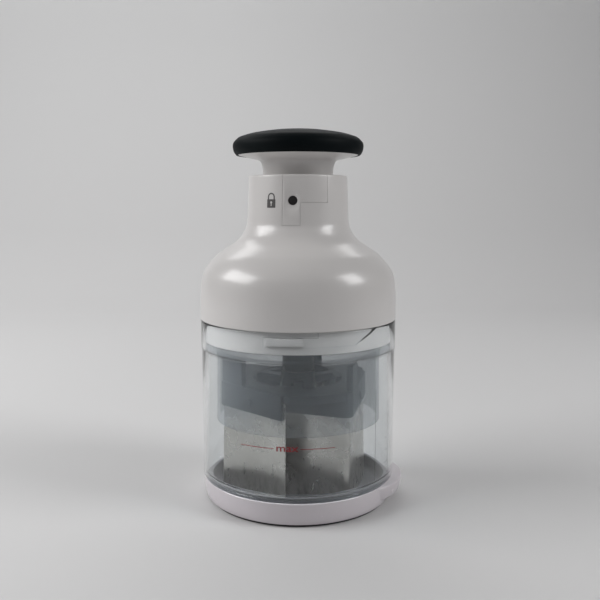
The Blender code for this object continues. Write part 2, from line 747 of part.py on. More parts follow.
def build_housing():
    outer = dome_side()
    inner = [point for point in offset_outline(outer, HOUSING_WALL) if point[1] < NECK_BORE_END_Z]
    inner = [point for point in inner if point[0] > NECK_BORE_RADIUS + HOUSING_WALL]
    inner = [*inner[:-1:2], inner[-1]]
    inner[-1] = (inner[-1][0], HOUSING_BOTTOM_Z)
    profile = [
        *neck_side(),
        *outer,
        *reversed(inner),
        (NECK_BORE_RADIUS, NECK_BORE_END_Z),
        (NECK_BORE_RADIUS, NECK_TOP_Z),
    ]
    housing = turned("upper_housing", profile, STEPS_LARGE, WHITE_GLOSS, HOUSING_FRAME, closed=True)
    fill_outer = offset_outline(outer, HOUSING_WALL / 2)
    fill = turned(
        "dome_fill",
        [(0.0, NECK_BASE_Z), (NECK_BORE_RADIUS, NECK_BASE_Z), *fill_outer[1:], (0.0, HOUSING_BOTTOM_Z)],
        STEPS_LARGE,
    )
    bosses = bmesh.new()
    pilots = bmesh.new()
    boss_bottom = CORE_TOP_Z + SEAT_GAP
    boss_height = NECK_BASE_Z - boss_bottom
    for angle in around(CORE_SCREW_COUNT, math.pi / 2):
        spot = turn_z(angle)
        middle = place(BOSS_CIRCLE_RADIUS, 0.0, boss_bottom + boss_height / 2)
        add_cylinder(bosses, BOSS_RADIUS, boss_height, STEPS_SCREW, spot @ middle)
        hole = place(BOSS_CIRCLE_RADIUS, 0.0, CORE_Z + CORE_SCREW_LENGTH / 2)
        add_cylinder(pilots, PILOT_RADIUS, CORE_SCREW_LENGTH + SEAT_GAP, STEPS_SCREW, spot @ hole)
    boss = add_object("screw_bosses", mesh_from("screw_bosses", bosses), None, None)
    boolean(boss, fill, "INTERSECT")
    boolean(housing, boss, "UNION")
    pilot = add_object("boss_pilots", mesh_from("boss_pilots", pilots), None, None)
    boolean(housing, pilot)
    for cutter in panel_forms("panel_pocket", SEAT_GAP):
        boolean(housing, cutter)
    boolean(housing, button_cutter("flange_hole", BUTTON_POCKET_RADIUS, NECK_BORE_RADIUS - CUT_OVERRUN))
    return housing


def panel_forms(name, grow):
    """Two overlapping sweeps that make the panel's stepped outline."""
    back = PANEL_BACK_RADIUS - grow
    far = NECK_RADIUS + CUT_OVERRUN
    angle = grow / NECK_RADIUS
    top = NECK_TOP_Z + CUT_OVERRUN
    wide = sector(
        name + "_wide",
        rectangle(back, far, PANEL_WIDE_BOTTOM_Z - grow, top),
        front(PANEL_LEFT - angle),
        PANEL_RIGHT - PANEL_LEFT + 2 * angle,
        6,
    )
    low = sector(
        name + "_low",
        rectangle(back, far, PANEL_LOW_BOTTOM_Z - grow, PANEL_WIDE_BOTTOM_Z + CUT_OVERRUN),
        front(PANEL_LEFT - angle),
        PANEL_NARROW_RIGHT - PANEL_LEFT + 2 * angle,
        3,
    )
    return wide, low


def button_cutter(name, radius, start, end=None):
    """Cylinder along the button's axis, out of the front of the neck."""
    end = NECK_RADIUS + CUT_OVERRUN if end is None else end
    bm = bmesh.new()
    middle = place(0.0, -(start + end) / 2, BUTTON_Z) @ Matrix.Rotation(math.pi / 2, 4, "X")
    add_cylinder(bm, radius, end - start, STEPS_SMALL, middle)
    return add_object(name, mesh_from(name, bm), None, None)


def build_neck_panel():
    wide, low = panel_forms("neck_panel_form", 0.0)
    panel = wide
    panel.name = "neck_panel"
    CUTTERS.objects.unlink(panel)
    PARTS.objects.link(panel)
    panel.hide_render = False
    panel.display_type = "TEXTURED"
    panel.data.materials.append(WHITE_GLOSS)
    panel.parent = HOUSING_FRAME
    boolean(panel, low, "UNION")
    skin = [*neck_side(PANEL_INSET), *[(r - PANEL_INSET, z) for r, z in dome_side()]]
    form = turned("neck_form", [(0.0, NECK_TOP_Z), *skin, (0.0, HOUSING_BOTTOM_Z)], STEPS_LARGE)
    boolean(panel, form, "INTERSECT")
    boolean(panel, button_cutter("button_hole", BUTTON_RADIUS + SEAT_GAP, PANEL_BACK_RADIUS - CUT_OVERRUN))
    ball_radius = (DIMPLE_RADIUS ** 2 + DIMPLE_DEPTH ** 2) / (2 * DIMPLE_DEPTH)
    surface = NECK_RADIUS - NECK_TAPER * (BUTTON_Z - NECK_BASE_Z) / (NECK_TOP_Z - NECK_BASE_Z)
    bm = bmesh.new()
    bmesh.ops.create_uvsphere(
        bm,
        u_segments=STEPS_MEDIUM,
        v_segments=STEPS_SMALL,
        radius=ball_radius,
        matrix=place(0.0, -(surface + ball_radius - DIMPLE_DEPTH), BUTTON_Z),
    )
    boolean(panel, add_object("dimple_ball", mesh_from("dimple_ball", bm), None, None))
    return panel


def build_button():
    """Lock button: dot, flange and tip, turned along its own axis."""
    flange_out = PANEL_BACK_RADIUS - SEAT_GAP
    flange_in = flange_out - BUTTON_FLANGE
    face = PANEL_BACK_RADIUS + BUTTON_PROUD
    tip = BUSH_BORE_RADIUS + SEAT_GAP
    profile = [
        (0.0, face),
        (BUTTON_RADIUS, face),
        (BUTTON_RADIUS, flange_out),
        (BUTTON_FLANGE_RADIUS, flange_out),
        (BUTTON_FLANGE_RADIUS, flange_in),
        (BUTTON_TIP_RADIUS, flange_in),
        (BUTTON_TIP_RADIUS, tip),
        (0.0, tip),
    ]
    button = turned("lock_button", profile, STEPS_SMALL, BUTTON_BLACK, BUTTON_FRAME)
    button.rotation_euler = (math.pi / 2, 0.0, 0.0)
    low = BUSH_BORE_RADIUS + BUSH_WEB + BUTTON_TRAVEL + RUN_GAP + BUTTON_SPRING_WIRE
    high = flange_in - SEAT_GAP - BUTTON_SPRING_WIRE
    spring = add_helix(
        "button_spring", BUTTON_SPRING_RADIUS, BUTTON_SPRING_WIRE, low, high, BUTTON_SPRING_CURL_COUNT, BUTTON_FRAME
    )
    spring.rotation_euler = (math.pi / 2, 0.0, 0.0)
    return button


def add_helix(name, radius, wire, low, high, curls, frame):
    """One unbroken round wire that climbs from low to high in a number of curls."""
    points_per_curl = 8
    count = curls * points_per_curl + 1
    data = bpy.data.curves.new(name, "CURVE")
    data.dimensions = "3D"
    data.bevel_depth = wire
    data.bevel_resolution = 1
    data.use_fill_caps = True
    spline = data.splines.new("POLY")
    spline.points.add(count - 1)
    for i, point in enumerate(spline.points):
        angle = math.tau * i / points_per_curl
        height = low + (high - low) * i / (count - 1)
        point.co = (radius * math.cos(angle), radius * math.sin(angle), height, 1.0)
    data.materials.append(BRIGHT_STEEL)
    obj = bpy.data.objects.new(name, data)
    PARTS.objects.link(obj)
    obj.parent = frame
    return obj


def build_core():
    """Core plate with its hub and guide tube, closed under the dome by three screws."""
    hub_bottom = CORE_Z - CORE_HUB_DROP
    profile = [
        (GUIDE_RADIUS, GUIDE_TOP_Z),
        (GUIDE_RADIUS, CORE_TOP_Z),
        (CORE_RADIUS, CORE_TOP_Z),
        (CORE_RADIUS, CORE_Z),
        (CORE_HUB_RADIUS, CORE_Z),
        (CORE_HUB_RADIUS, hub_bottom),
        (GUIDE_BORE_RADIUS, hub_bottom),
        (GUIDE_BORE_RADIUS, GUIDE_TOP_Z),
    ]
    core = turned("core_plate", profile, STEPS_MEDIUM, NYLON, HOUSING_FRAME, closed=True)
    holes = bmesh.new()
    pin_holes = bmesh.new()
    pin_start = SHAFT_RADIUS - PIN_REACH
    pin_end = CORE_HUB_RADIUS - SEAT_GAP
    screw = screw_mesh(
        "core_screw", SCREW_HEAD_RADIUS, SCREW_HEAD, SCREW_SHANK_RADIUS, CORE_SCREW_LENGTH
    )
    pin = turned_mesh(
        "drive_pin",
        [(0.0, pin_end), (PIN_RADIUS, pin_end), (PIN_RADIUS, pin_start), (0.0, pin_start)],
        STEPS_SCREW,
    )
    side = Matrix.Rotation(math.pi / 2, 4, "Y")
    over = Matrix.Rotation(math.pi, 4, "X")
    for number, angle in enumerate(around(CORE_SCREW_COUNT, math.pi / 2), start=1):
        spot = turn_z(angle)
        middle = place(BOSS_CIRCLE_RADIUS, 0.0, CORE_Z + CORE_THICKNESS / 2)
        hole_depth = CORE_THICKNESS + 2 * CUT_OVERRUN
        add_cylinder(holes, SCREW_SHANK_RADIUS + SEAT_GAP, hole_depth, STEPS_SCREW, spot @ middle)
        screw_place = spot @ place(BOSS_CIRCLE_RADIUS, 0.0, CORE_Z - SEAT_GAP) @ over
        add_copy(f"core_screw_{number}", screw, screw_place, BRIGHT_STEEL, HOUSING_FRAME)
    for number, angle in enumerate(around(PIN_COUNT, math.pi / 2), start=1):
        spot = turn_z(angle)
        pin_place = spot @ place(0.0, 0.0, PIN_Z) @ side
        add_copy(f"drive_pin_{number}", pin, pin_place, BRIGHT_STEEL, HOUSING_FRAME)
        hole_middle = spot @ place(CORE_HUB_RADIUS, 0.0, PIN_Z) @ side
        add_cylinder(pin_holes, PIN_RADIUS + SEAT_GAP, CORE_HUB_RADIUS, STEPS_SCREW, hole_middle)
    boolean(core, add_object("core_screw_holes", mesh_from("core_screw_holes", holes), None, None))
    boolean(core, add_object("pin_holes", mesh_from("pin_holes", pin_holes), None, None))
    return core


def turned_mesh(name, profile, steps):
    """Mesh of an outline turned about Z, for pieces that are repeated."""
    bm = bmesh.new()
    verts = [bm.verts.new((radius, 0.0, height)) for radius, height in profile]
    edges = [bm.edges.new(pair) for pair in zip(verts, verts[1:])]
    bmesh.ops.spin(
        bm,
        geom=[*verts, *edges],
        cent=(0.0, 0.0, 0.0),
        axis=(0.0, 0.0, 1.0),
        angle=math.tau,
        steps=steps,
        use_merge=True,
    )
    bmesh.ops.remove_doubles(bm, verts=bm.verts, dist=WELD)
    return mesh_from(name, bm)


def screw_mesh(name, head_radius, head, shank_radius, length):
    """Pan screw whose head stands on the ground plane, with its shank below it."""
    profile = [
        (0.0, head),
        (head_radius * HEAD_FLAT_SHARE, head),
        (head_radius, head * HEAD_SIDE_SHARE),
        (head_radius, 0.0),
        (shank_radius, 0.0),
        (shank_radius, -length),
        (0.0, -length),
    ]
    return turned_mesh(name, profile, STEPS_SCREW)


def add_copy(name, mesh, matrix, material, frame):
    """Place one of several pieces that share a mesh."""
    obj = bpy.data.objects.new(name, mesh)
    PARTS.objects.link(obj)
    if not mesh.materials:
        mesh.materials.append(material)
    obj.parent = frame
    obj.matrix_local = matrix
    return obj


def build_bush():
    bottom = BUSH_FLANGE_TOP_Z - BUSH_FLANGE
    profile = [
        (BUSH_RADIUS, BUSH_WALL_TOP_Z),
        (BUSH_RADIUS, BUSH_FLANGE_TOP_Z),
        (BUSH_FLANGE_RADIUS, BUSH_FLANGE_TOP_Z),
        (BUSH_FLANGE_RADIUS, bottom),
        (BUSH_BORE_RADIUS, bottom),
        (BUSH_BORE_RADIUS, BUSH_WALL_TOP_Z),
    ]
    bush = turned("neck_bush", profile, STEPS_MEDIUM, WHITE_GLOSS, HOUSING_FRAME, closed=True)
    pocket = button_cutter("bush_pocket", BUTTON_POCKET_RADIUS, BUSH_BORE_RADIUS + BUSH_WEB)
    boolean(bush, pocket)
    boolean(bush, button_cutter("bush_tip_hole", BUTTON_TIP_RADIUS + RUN_GAP, SLEEVE_BORE_RADIUS))
    return bush


def build_sleeve():
    """White plunger sleeve with the flared flange that the hand's pad covers."""
    cove = [
        (SLEEVE_RADIUS + (FLARE_RADIUS - SLEEVE_RADIUS) * r_share, FLARE_Z - COVE_HEIGHT * (1 - h_share))
        for r_share, h_share in COVE_SHARES
    ]
    web_top = WEB_Z + WEB_THICKNESS
    floor = FLANGE_EDGE_Z + FLANGE_WEB / 4
    rim = FLANGE_RADIUS - SLEEVE_WALL
    profile = [
        (FLANGE_RADIUS, FLANGE_TOP_Z),
        (FLANGE_RADIUS, FLANGE_EDGE_Z),
        *cove,
        (SLEEVE_RADIUS, SLEEVE_BOTTOM_Z),
        (SLEEVE_BORE_RADIUS, SLEEVE_BOTTOM_Z),
        (SLEEVE_BORE_RADIUS, WEB_Z),
        (GUIDE_BORE_RADIUS, WEB_Z),
        (GUIDE_BORE_RADIUS, web_top),
        (SLEEVE_BORE_RADIUS, web_top),
        (FLARE_RADIUS, floor),
        (rim, floor),
        (rim, FLANGE_TOP_Z),
    ]
    sleeve = turned("plunger_sleeve", profile, STEPS_MEDIUM, WHITE_GLOSS, PLUNGER_FRAME, closed=True)
    posts = bmesh.new()
    pilots = bmesh.new()
    post_height = FLANGE_TOP_Z - floor + FLANGE_WEB / 4
    for angle in around(KNOB_SCREW_COUNT, math.pi / 4):
        spot = turn_z(angle)
        post = place(KNOB_SCREW_CIRCLE_RADIUS, 0.0, FLANGE_TOP_Z - post_height / 2)
        add_cylinder(posts, SCREW_HEAD_RADIUS, post_height, STEPS_SCREW, spot @ post)
        pilot = place(KNOB_SCREW_CIRCLE_RADIUS, 0.0, FLANGE_TOP_Z)
        add_cylinder(pilots, PILOT_RADIUS, 2 * (FLANGE_TOP_Z - floor), STEPS_SCREW, spot @ pilot)
    boolean(sleeve, add_object("knob_posts", mesh_from("knob_posts", posts), None, None), "UNION")
    boolean(sleeve, add_object("knob_pilots", mesh_from("knob_pilots", pilots), None, None))
    slot = bmesh.new()
    slot_top = BUTTON_Z + BUTTON_TIP_RADIUS + RUN_GAP
    slot_height = slot_top - SLEEVE_BOTTOM_Z + CUT_OVERRUN
    add_block(
        slot,
        (2 * (BUTTON_TIP_RADIUS + RUN_GAP), SLEEVE_RADIUS, slot_height),
        place(0.0, -SLEEVE_RADIUS, slot_top - slot_height / 2),
    )
    boolean(sleeve, add_object("sleeve_slot", mesh_from("sleeve_slot", slot, False), None, None))
    return sleeve


def build_knob():
    """Plate that closes the flange, its screws, and the soft pad over them."""
    bearing_hole = BEARING_RADIUS + SEAT_GAP
    plate_ring = rectangle(bearing_hole, FLANGE_RADIUS, PLATE_BOTTOM_Z, PLATE_TOP_Z)
    plate = turned("knob_plate", plate_ring, STEPS_MEDIUM, NYLON, PLUNGER_FRAME, closed=True)
    holes = bmesh.new()
    seat_z = PLATE_TOP_Z - SCREW_HEAD
    screw = screw_mesh(
        "knob_screw",
        SCREW_HEAD_RADIUS,
        SCREW_HEAD,
        SCREW_SHANK_RADIUS,
        seat_z - FLANGE_EDGE_Z - FLANGE_WEB / 2,
    )
    for number, angle in enumerate(around(KNOB_SCREW_COUNT, math.pi / 4), start=1):
        spot = turn_z(angle) @ place(KNOB_SCREW_CIRCLE_RADIUS, 0.0, 0.0)
        add_cylinder(
            holes,
            SCREW_SHANK_RADIUS + SEAT_GAP,
            2 * PLATE_THICKNESS + CUT_OVERRUN,
            STEPS_SCREW,
            spot @ place(0.0, 0.0, seat_z - PLATE_THICKNESS - CUT_OVERRUN / 2),
        )
        add_cylinder(
            holes,
            SCREW_HEAD_RADIUS + SEAT_GAP,
            SCREW_HEAD + SEAT_GAP + CUT_OVERRUN,
            STEPS_SCREW,
            spot @ place(0.0, 0.0, seat_z - SEAT_GAP + (SCREW_HEAD + SEAT_GAP + CUT_OVERRUN) / 2),
        )
        screw_place = spot @ place(0.0, 0.0, seat_z)
        add_copy(f"knob_screw_{number}", screw, screw_place, BRIGHT_STEEL, PLUNGER_FRAME)
    cutter = boolean(plate, add_object("plate_holes", mesh_from("plate_holes", holes), None, None))
    cutter.use_self = True

    height = PAD_TOP_Z - PAD_SKIRT_Z
    outer = [(PAD_RADIUS * r_share, PAD_SKIRT_Z + height * h_share) for r_share, h_share in PAD_SHARES]
    bore = FLANGE_RADIUS + SEAT_GAP
    roof = PAD_TOP_Z - PAD_WALL_TOP
    inner = [
        (bore, PAD_SKIRT_Z),
        (bore, PLATE_TOP_Z + SEAT_GAP),
        (FLARE_RADIUS, PLATE_TOP_Z + SEAT_GAP),
        (BEARING_FLANGE_RADIUS, roof),
        (0.0, roof),
    ]
    return turned("knob_pad", [*outer, *inner], STEPS_MEDIUM, PAD_RUBBER, PLUNGER_FRAME)


def build_shaft():
    profile = [
        (0.0, JOURNAL_TOP_Z),
        (JOURNAL_RADIUS, JOURNAL_TOP_Z),
        (JOURNAL_RADIUS, SHAFT_TOP_Z),
        (SHAFT_RADIUS, SHAFT_TOP_Z),
        (SHAFT_RADIUS, HUB_TOP_Z + SEAT_GAP),
        (JOURNAL_RADIUS, HUB_TOP_Z + SEAT_GAP),
        (JOURNAL_RADIUS, SPIGOT_BOTTOM_Z),
        (0.0, SPIGOT_BOTTOM_Z),
    ]
    shaft = turned("drive_shaft", profile, STEPS_SMALL, CARRIER_SLATE, ROTOR_FRAME)
    axial = bmesh.new()
    for end in (JOURNAL_TOP_Z, SPIGOT_BOTTOM_Z):
        hole = place(0.0, 0.0, end)
        add_cylinder(axial, AXIAL_SCREW_SHANK_RADIUS + SEAT_GAP, 2 * AXIAL_HOLE_DEPTH, STEPS_SCREW, hole)
    boolean(shaft, add_object("axial_holes", mesh_from("axial_holes", axial), None, None))
    grooves = bmesh.new()
    margin = PIN_RADIUS + 2 * RUN_GAP
    low = PIN_Z - STROKE - margin
    high = PIN_Z + margin
    steps = 12
    floor = SHAFT_RADIUS - GROOVE_DEPTH
    for angle in around(PIN_COUNT, math.pi / 2):
        corners = [
            (floor, -GROOVE_HALF_WIDTH),
            (SHAFT_RADIUS + CUT_OVERRUN, -GROOVE_HALF_WIDTH),
            (SHAFT_RADIUS + CUT_OVERRUN, GROOVE_HALF_WIDTH),
            (floor, GROOVE_HALF_WIDTH),
        ]
        verts = [grooves.verts.new((x, y, low)) for x, y in corners]
        face = grooves.faces.new(verts)
        start = angle + TURN_RATE * (low - PIN_Z)
        bmesh.ops.rotate(grooves, verts=verts, cent=(0.0, 0.0, 0.0), matrix=Matrix.Rotation(start, 3, "Z"))
        bmesh.ops.spin(
            grooves,
            geom=[face, *face.edges, *face.verts],
            cent=(0.0, 0.0, 0.0),
            axis=(0.0, 0.0, 1.0),
            dvec=(0.0, 0.0, (high - low) / steps),
            angle=TURN_RATE * (high - low),
            steps=steps,
        )
    boolean(shaft, add_object("helix_grooves", mesh_from("helix_grooves", grooves, False), None, None))
    return shaft


def build_bearing():
    """Flanged bush in the knob plate, with the screw that hangs the shaft on it."""
    profile = [
        (BEARING_RADIUS, PLATE_TOP_Z),
        (BEARING_RADIUS, BEARING_FLANGE_TOP_Z),
        (BEARING_FLANGE_RADIUS, BEARING_FLANGE_TOP_Z),
        (BEARING_FLANGE_RADIUS, SHAFT_TOP_Z + SEAT_GAP),
        (BEARING_BORE_RADIUS, SHAFT_TOP_Z + SEAT_GAP),
        (BEARING_BORE_RADIUS, PLATE_TOP_Z),
    ]
    turned("shaft_bearing", profile, STEPS_SMALL, NYLON, PLUNGER_FRAME, closed=True)
    screw = screw_mesh(
        "axial_screw",
        AXIAL_SCREW_HEAD_RADIUS,
        AXIAL_SCREW_HEAD,
        AXIAL_SCREW_SHANK_RADIUS,
        AXIAL_SCREW_LENGTH,
    )
    top = place(0.0, 0.0, JOURNAL_TOP_Z + SEAT_GAP)
    low = place(0.0, 0.0, HUB_BOTTOM_Z - SEAT_GAP) @ Matrix.Rotation(math.pi, 4, "X")
    add_copy("shaft_screw", screw, top, BRIGHT_STEEL, ROTOR_FRAME)
    add_copy("carrier_screw", screw, low, BRIGHT_STEEL, ROTOR_FRAME)


def blade_path(long_leg, short_leg):
    """Plan points of one bent blade whose corner lies on +X, long leg first."""
    corner = Vector((BLADE_VERTEX_RADIUS, 0.0))
    long_way = math.pi - LONG_LEG_ANGLE
    short_way = math.pi + SHORT_LEG_ANGLE
    opening = short_way - long_way
    middle_way = (short_way + long_way) / 2
    tangent = BLADE_BEND_RADIUS / math.tan(opening / 2)
    centre = corner + Vector((math.cos(middle_way), math.sin(middle_way))) * (
        BLADE_BEND_RADIUS / math.sin(opening / 2)
    )
    points = [corner + Vector((math.cos(long_way), math.sin(long_way))) * long_leg]
    first = corner + Vector((math.cos(long_way), math.sin(long_way))) * tangent
    begin = math.atan2(*reversed((first - centre)[:]))
    sweep = math.pi - opening
    bends = 5
    for i in range(bends + 1):
        angle = begin - sweep * i / bends
        points.append(centre + Vector((math.cos(angle), math.sin(angle))) * BLADE_BEND_RADIUS)
    points.append(corner + Vector((math.cos(short_way), math.sin(short_way))) * short_leg)
    return points


def bent_sheet(name, paths, bottom, top, thickness, material=None, frame=None):
    """Upright sheets that follow plan paths, given their thickness."""
    bm = bmesh.new()
    for path in paths:
        verts = [bm.verts.new((point.x, point.y, bottom)) for point in path]
        edges = [bm.edges.new(pair) for pair in zip(verts, verts[1:])]
        grown = bmesh.ops.extrude_edge_only(bm, edges=edges)["geom"]
        raised = [item for item in grown if isinstance(item, bmesh.types.BMVert)]
        bmesh.ops.translate(bm, verts=raised, vec=(0.0, 0.0, top - bottom))
    obj = add_object(name, mesh_from(name, bm, False), material, frame)
    solid = obj.modifiers.new("thickness", "SOLIDIFY")
    solid.thickness = thickness
    solid.offset = 0.0
    solid.use_even_offset = True
    return obj


def turned_path(path, angle):
    turn = Matrix.Rotation(angle, 2)
    return [turn @ point for point in path]


def rivet_spots(angle):
    """Places of the two rivets of a blade: matrix whose Z runs through the sheet."""
    spots = []
    corner = Vector((BLADE_VERTEX_RADIUS, 0.0))
    legs = ((math.pi - LONG_LEG_ANGLE, LONG_LEG), (math.pi + SHORT_LEG_ANGLE, SHORT_LEG))
    for way, length in legs:
        spot = corner + Vector((math.cos(way), math.sin(way))) * (length * RIVET_SHARE)
        across = Matrix.Rotation(way, 4, "Z") @ Matrix.Rotation(math.pi / 2, 4, "X")
        spots.append(turn_z(angle) @ place(spot.x, spot.y, RIVET_Z) @ across)
    return spots


def rivet_mesh():
    """Rivet turned as one piece, with a head on each face of the wall."""
    inner = CARRIER_WALL / 2 + SEAT_GAP
    outer = inner + RIVET_HEAD
    profile = [
        (0.0, outer),
        (RIVET_HEAD_RADIUS, outer),
        (RIVET_HEAD_RADIUS, inner),
        (RIVET_RADIUS, inner),
        (RIVET_RADIUS, -inner),
        (RIVET_HEAD_RADIUS, -inner),
        (RIVET_HEAD_RADIUS, -outer),
        (0.0, -outer),
    ]
    return turned_mesh("blade_rivet", profile, STEPS_SCREW)


def build_blades():
    angles = around(BLADE_COUNT, BLADE_FIRST_VERTEX)
    holes = bmesh.new()
    rivet = rivet_mesh()
    spots = [spot for angle in angles for spot in rivet_spots(angle)]
    for number, spot in enumerate(spots, start=1):
        add_cylinder(holes, RIVET_RADIUS + SEAT_GAP, 2 * CARRIER_WALL, STEPS_SCREW, spot)
        add_copy(f"blade_rivet_{number}", rivet, spot, CARRIER_SLATE, ROTOR_FRAME)
    hole_cutter = add_object("rivet_holes", mesh_from("rivet_holes", holes), None, None)
    blade = blade_path(LONG_LEG, SHORT_LEG)
    for number, angle in enumerate(angles, start=1):
        sheet = bent_sheet(
            f"blade_{number}",
            [turned_path(blade, angle)],
            BLADE_TIP_Z,
            BLADE_TOP_Z,
            BLADE_THICKNESS,
            BLADE_STEEL,
            ROTOR_FRAME,
        )
        boolean(sheet, hole_cutter)
    build_carrier(angles, hole_cutter)


def build_carrier(angles, hole_cutter):
    wheel_top = WHEEL_BOTTOM_Z + WHEEL_THICKNESS
    wheel = rectangle(WHEEL_INNER_RADIUS, WHEEL_OUTER_RADIUS, WHEEL_BOTTOM_Z, wheel_top)
    carrier = turned("blade_carrier", wheel, STEPS_MEDIUM, CARRIER_SLATE, ROTOR_FRAME, closed=True)
    flats = bmesh.new()
    wall_distance = BLADE_VERTEX_RADIUS * math.sin(LONG_LEG_ANGLE)
    depth = WHEEL_OUTER_RADIUS - wall_distance + CUT_OVERRUN
    for angle in angles:
        add_block(
            flats,
            (depth, 2 * WHEEL_OUTER_RADIUS, WHEEL_THICKNESS + 2 * CUT_OVERRUN),
            turn_z(angle + math.pi / 2 - LONG_LEG_ANGLE)
            @ place(wall_distance + depth / 2, 0.0, (WHEEL_BOTTOM_Z + wheel_top) / 2),
        )
    boolean(carrier, add_object("wheel_flats", mesh_from("wheel_flats", flats, False), None, None))
    spokes = bmesh.new()
    start = (HUB_RADIUS + JOURNAL_RADIUS) / 2
    end = (WHEEL_INNER_RADIUS + WHEEL_OUTER_RADIUS) / 2
    for angle in angles:
        add_block(
            spokes,
            (end - start, SPOKE_WIDTH, WHEEL_THICKNESS - 2 * SPOKE_RELIEF),
            turn_z(angle + SPOKE_TURN) @ place((start + end) / 2, 0.0, (WHEEL_BOTTOM_Z + wheel_top) / 2),
        )
    boolean(carrier, add_object("wheel_spokes", mesh_from("wheel_spokes", spokes, False), None, None), "UNION")
    hub_ring = rectangle(JOURNAL_RADIUS + SEAT_GAP, HUB_RADIUS, HUB_BOTTOM_Z, HUB_TOP_Z)
    boolean(carrier, turned("carrier_hub", hub_ring, STEPS_SMALL, closed=True), "UNION")
    wall = blade_path(LONG_LEG * LONG_WALL_SHARE, SHORT_LEG * SHORT_WALL_SHARE)
    walls = bent_sheet(
        "carrier_walls",
        [turned_path(wall, angle) for angle in angles],
        CARRIER_BOTTOM_Z,
        CARRIER_TOP_Z,
        CARRIER_WALL,
    )
    boolean(carrier, walls, "UNION")
    corner = Vector((BLADE_VERTEX_RADIUS, 0.0))
    long_way = Vector((-math.cos(LONG_LEG_ANGLE), math.sin(LONG_LEG_ANGLE)))
    fin = [corner + long_way * FIN_END, corner + long_way * FIN_START]
    fins = bent_sheet(
        "carrier_fins",
        [turned_path(fin, angle) for angle in angles],
        CARRIER_TOP_Z - WHEEL_DROP / 2,
        CARRIER_TOP_Z + FIN_RISE,
        CARRIER_WALL - 2 * SPOKE_RELIEF,
    )
    boolean(carrier, fins, "UNION")
    slot = blade_path(LONG_LEG + CUT_OVERRUN, SHORT_LEG + CUT_OVERRUN)
    slots = bent_sheet(
        "blade_slots",
        [turned_path(slot, angle) for angle in angles],
        CARRIER_BOTTOM_Z - CUT_OVERRUN,
        BLADE_TOP_Z + SEAT_GAP,
        BLADE_THICKNESS + 2 * SEAT_GAP,
    )
    boolean(carrier, slots)
    boolean(carrier, hole_cutter)
    return carrier


def build_return_spring():
    low = CORE_TOP_Z + SEAT_GAP + SPRING_WIRE
    high = WEB_Z - SEAT_GAP - SPRING_WIRE
    return add_helix(
        "return_spring", SPRING_RADIUS, SPRING_WIRE, low, high, SPRING_CURL_COUNT, HOUSING_FRAME
    )


build_foot()
build_base_cap()
build_mat()
build_cup()
build_guard()
build_lock_collar()
build_housing()
build_neck_panel()
build_button()
build_core()
build_bush()
build_return_spring()
build_sleeve()
build_knob()
build_shaft()
build_bearing()
build_blades()
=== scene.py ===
"""Looks of a push-down vegetable chopper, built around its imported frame.

The chopper stands on its round base: a clear cup holds a hazy blade guard, a
glossy white housing locks into the cup by a bayonet, and a soft black pad tops
the plunger that drives the bent blades.  Every piece is in metres, in the
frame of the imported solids, with +Z up and the front towards -Y.
"""

from __future__ import annotations

import json
import logging
import math
from dataclasses import dataclass, field
from enum import Enum
from typing import Any, Iterable, Sequence

import bmesh
import bpy
from mathutils import Matrix, Vector

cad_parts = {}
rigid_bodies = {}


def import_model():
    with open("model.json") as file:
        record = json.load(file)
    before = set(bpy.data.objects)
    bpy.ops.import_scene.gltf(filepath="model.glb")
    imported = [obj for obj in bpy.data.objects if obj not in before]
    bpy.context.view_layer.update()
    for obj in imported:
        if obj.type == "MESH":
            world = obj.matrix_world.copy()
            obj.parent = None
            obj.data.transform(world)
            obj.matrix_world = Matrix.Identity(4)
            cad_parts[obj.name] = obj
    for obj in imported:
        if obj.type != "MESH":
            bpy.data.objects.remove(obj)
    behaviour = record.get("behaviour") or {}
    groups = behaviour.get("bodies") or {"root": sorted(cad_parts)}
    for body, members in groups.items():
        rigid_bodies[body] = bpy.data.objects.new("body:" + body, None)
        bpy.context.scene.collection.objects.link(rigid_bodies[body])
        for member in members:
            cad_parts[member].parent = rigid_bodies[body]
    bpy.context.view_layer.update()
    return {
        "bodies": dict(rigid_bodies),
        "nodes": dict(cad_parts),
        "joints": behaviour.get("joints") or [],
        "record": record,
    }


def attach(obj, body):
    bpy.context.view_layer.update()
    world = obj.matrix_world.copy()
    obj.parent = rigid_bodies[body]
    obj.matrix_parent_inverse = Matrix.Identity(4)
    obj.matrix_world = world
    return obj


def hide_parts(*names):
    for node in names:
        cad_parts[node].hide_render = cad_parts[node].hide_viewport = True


LOG = logging.getLogger("vegetable_chopper")
MM = 0.001
WELD = 1e-6
SEAM_GAP = 0.1 * MM
REPEATS = 3
THIRD_TURN = 120.0
AXIS = (0.0, 0.0, 1.0)
ORIGIN = (0.0, 0.0, 0.0)

Point = tuple[float, float]
Corner = tuple[float, float, float]
Colour = tuple[float, float, float]


class Body(Enum):
    """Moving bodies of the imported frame."""

    BASE = "base"
    CUP = "cup_body"
    HOUSING = "housing"
    BUTTON = "button"
    PLUNGER = "plunger"
    ROTOR = "rotor"


class Slot(Enum):
    """Material slots of the record."""

    WHITE_GLOSS = "white_gloss"
    BASE_WHITE = "base_white"
    PAD_RUBBER = "pad_rubber"
    FOOT_RUBBER = "foot_rubber"
    # Slot whose grey paints the shade on the floor inside the cup.
    MAT_PAINTED_SHADE = "mat_grey"
    # Slot whose dark ring paints the shade where the cup wall bends light away.
    PAINTED_SHADE_RING = "seal_dark"
    CLEAR_CUP = "clear_cup"
    SMOKY_GUARD = "smoky_guard"
    CARRIER_SLATE = "carrier_slate"
    BLADE_STEEL = "blade_steel"
    BRIGHT_STEEL = "bright_steel"
    NYLON = "nylon"
    BUTTON_BLACK = "button_black"


# Shader wiring


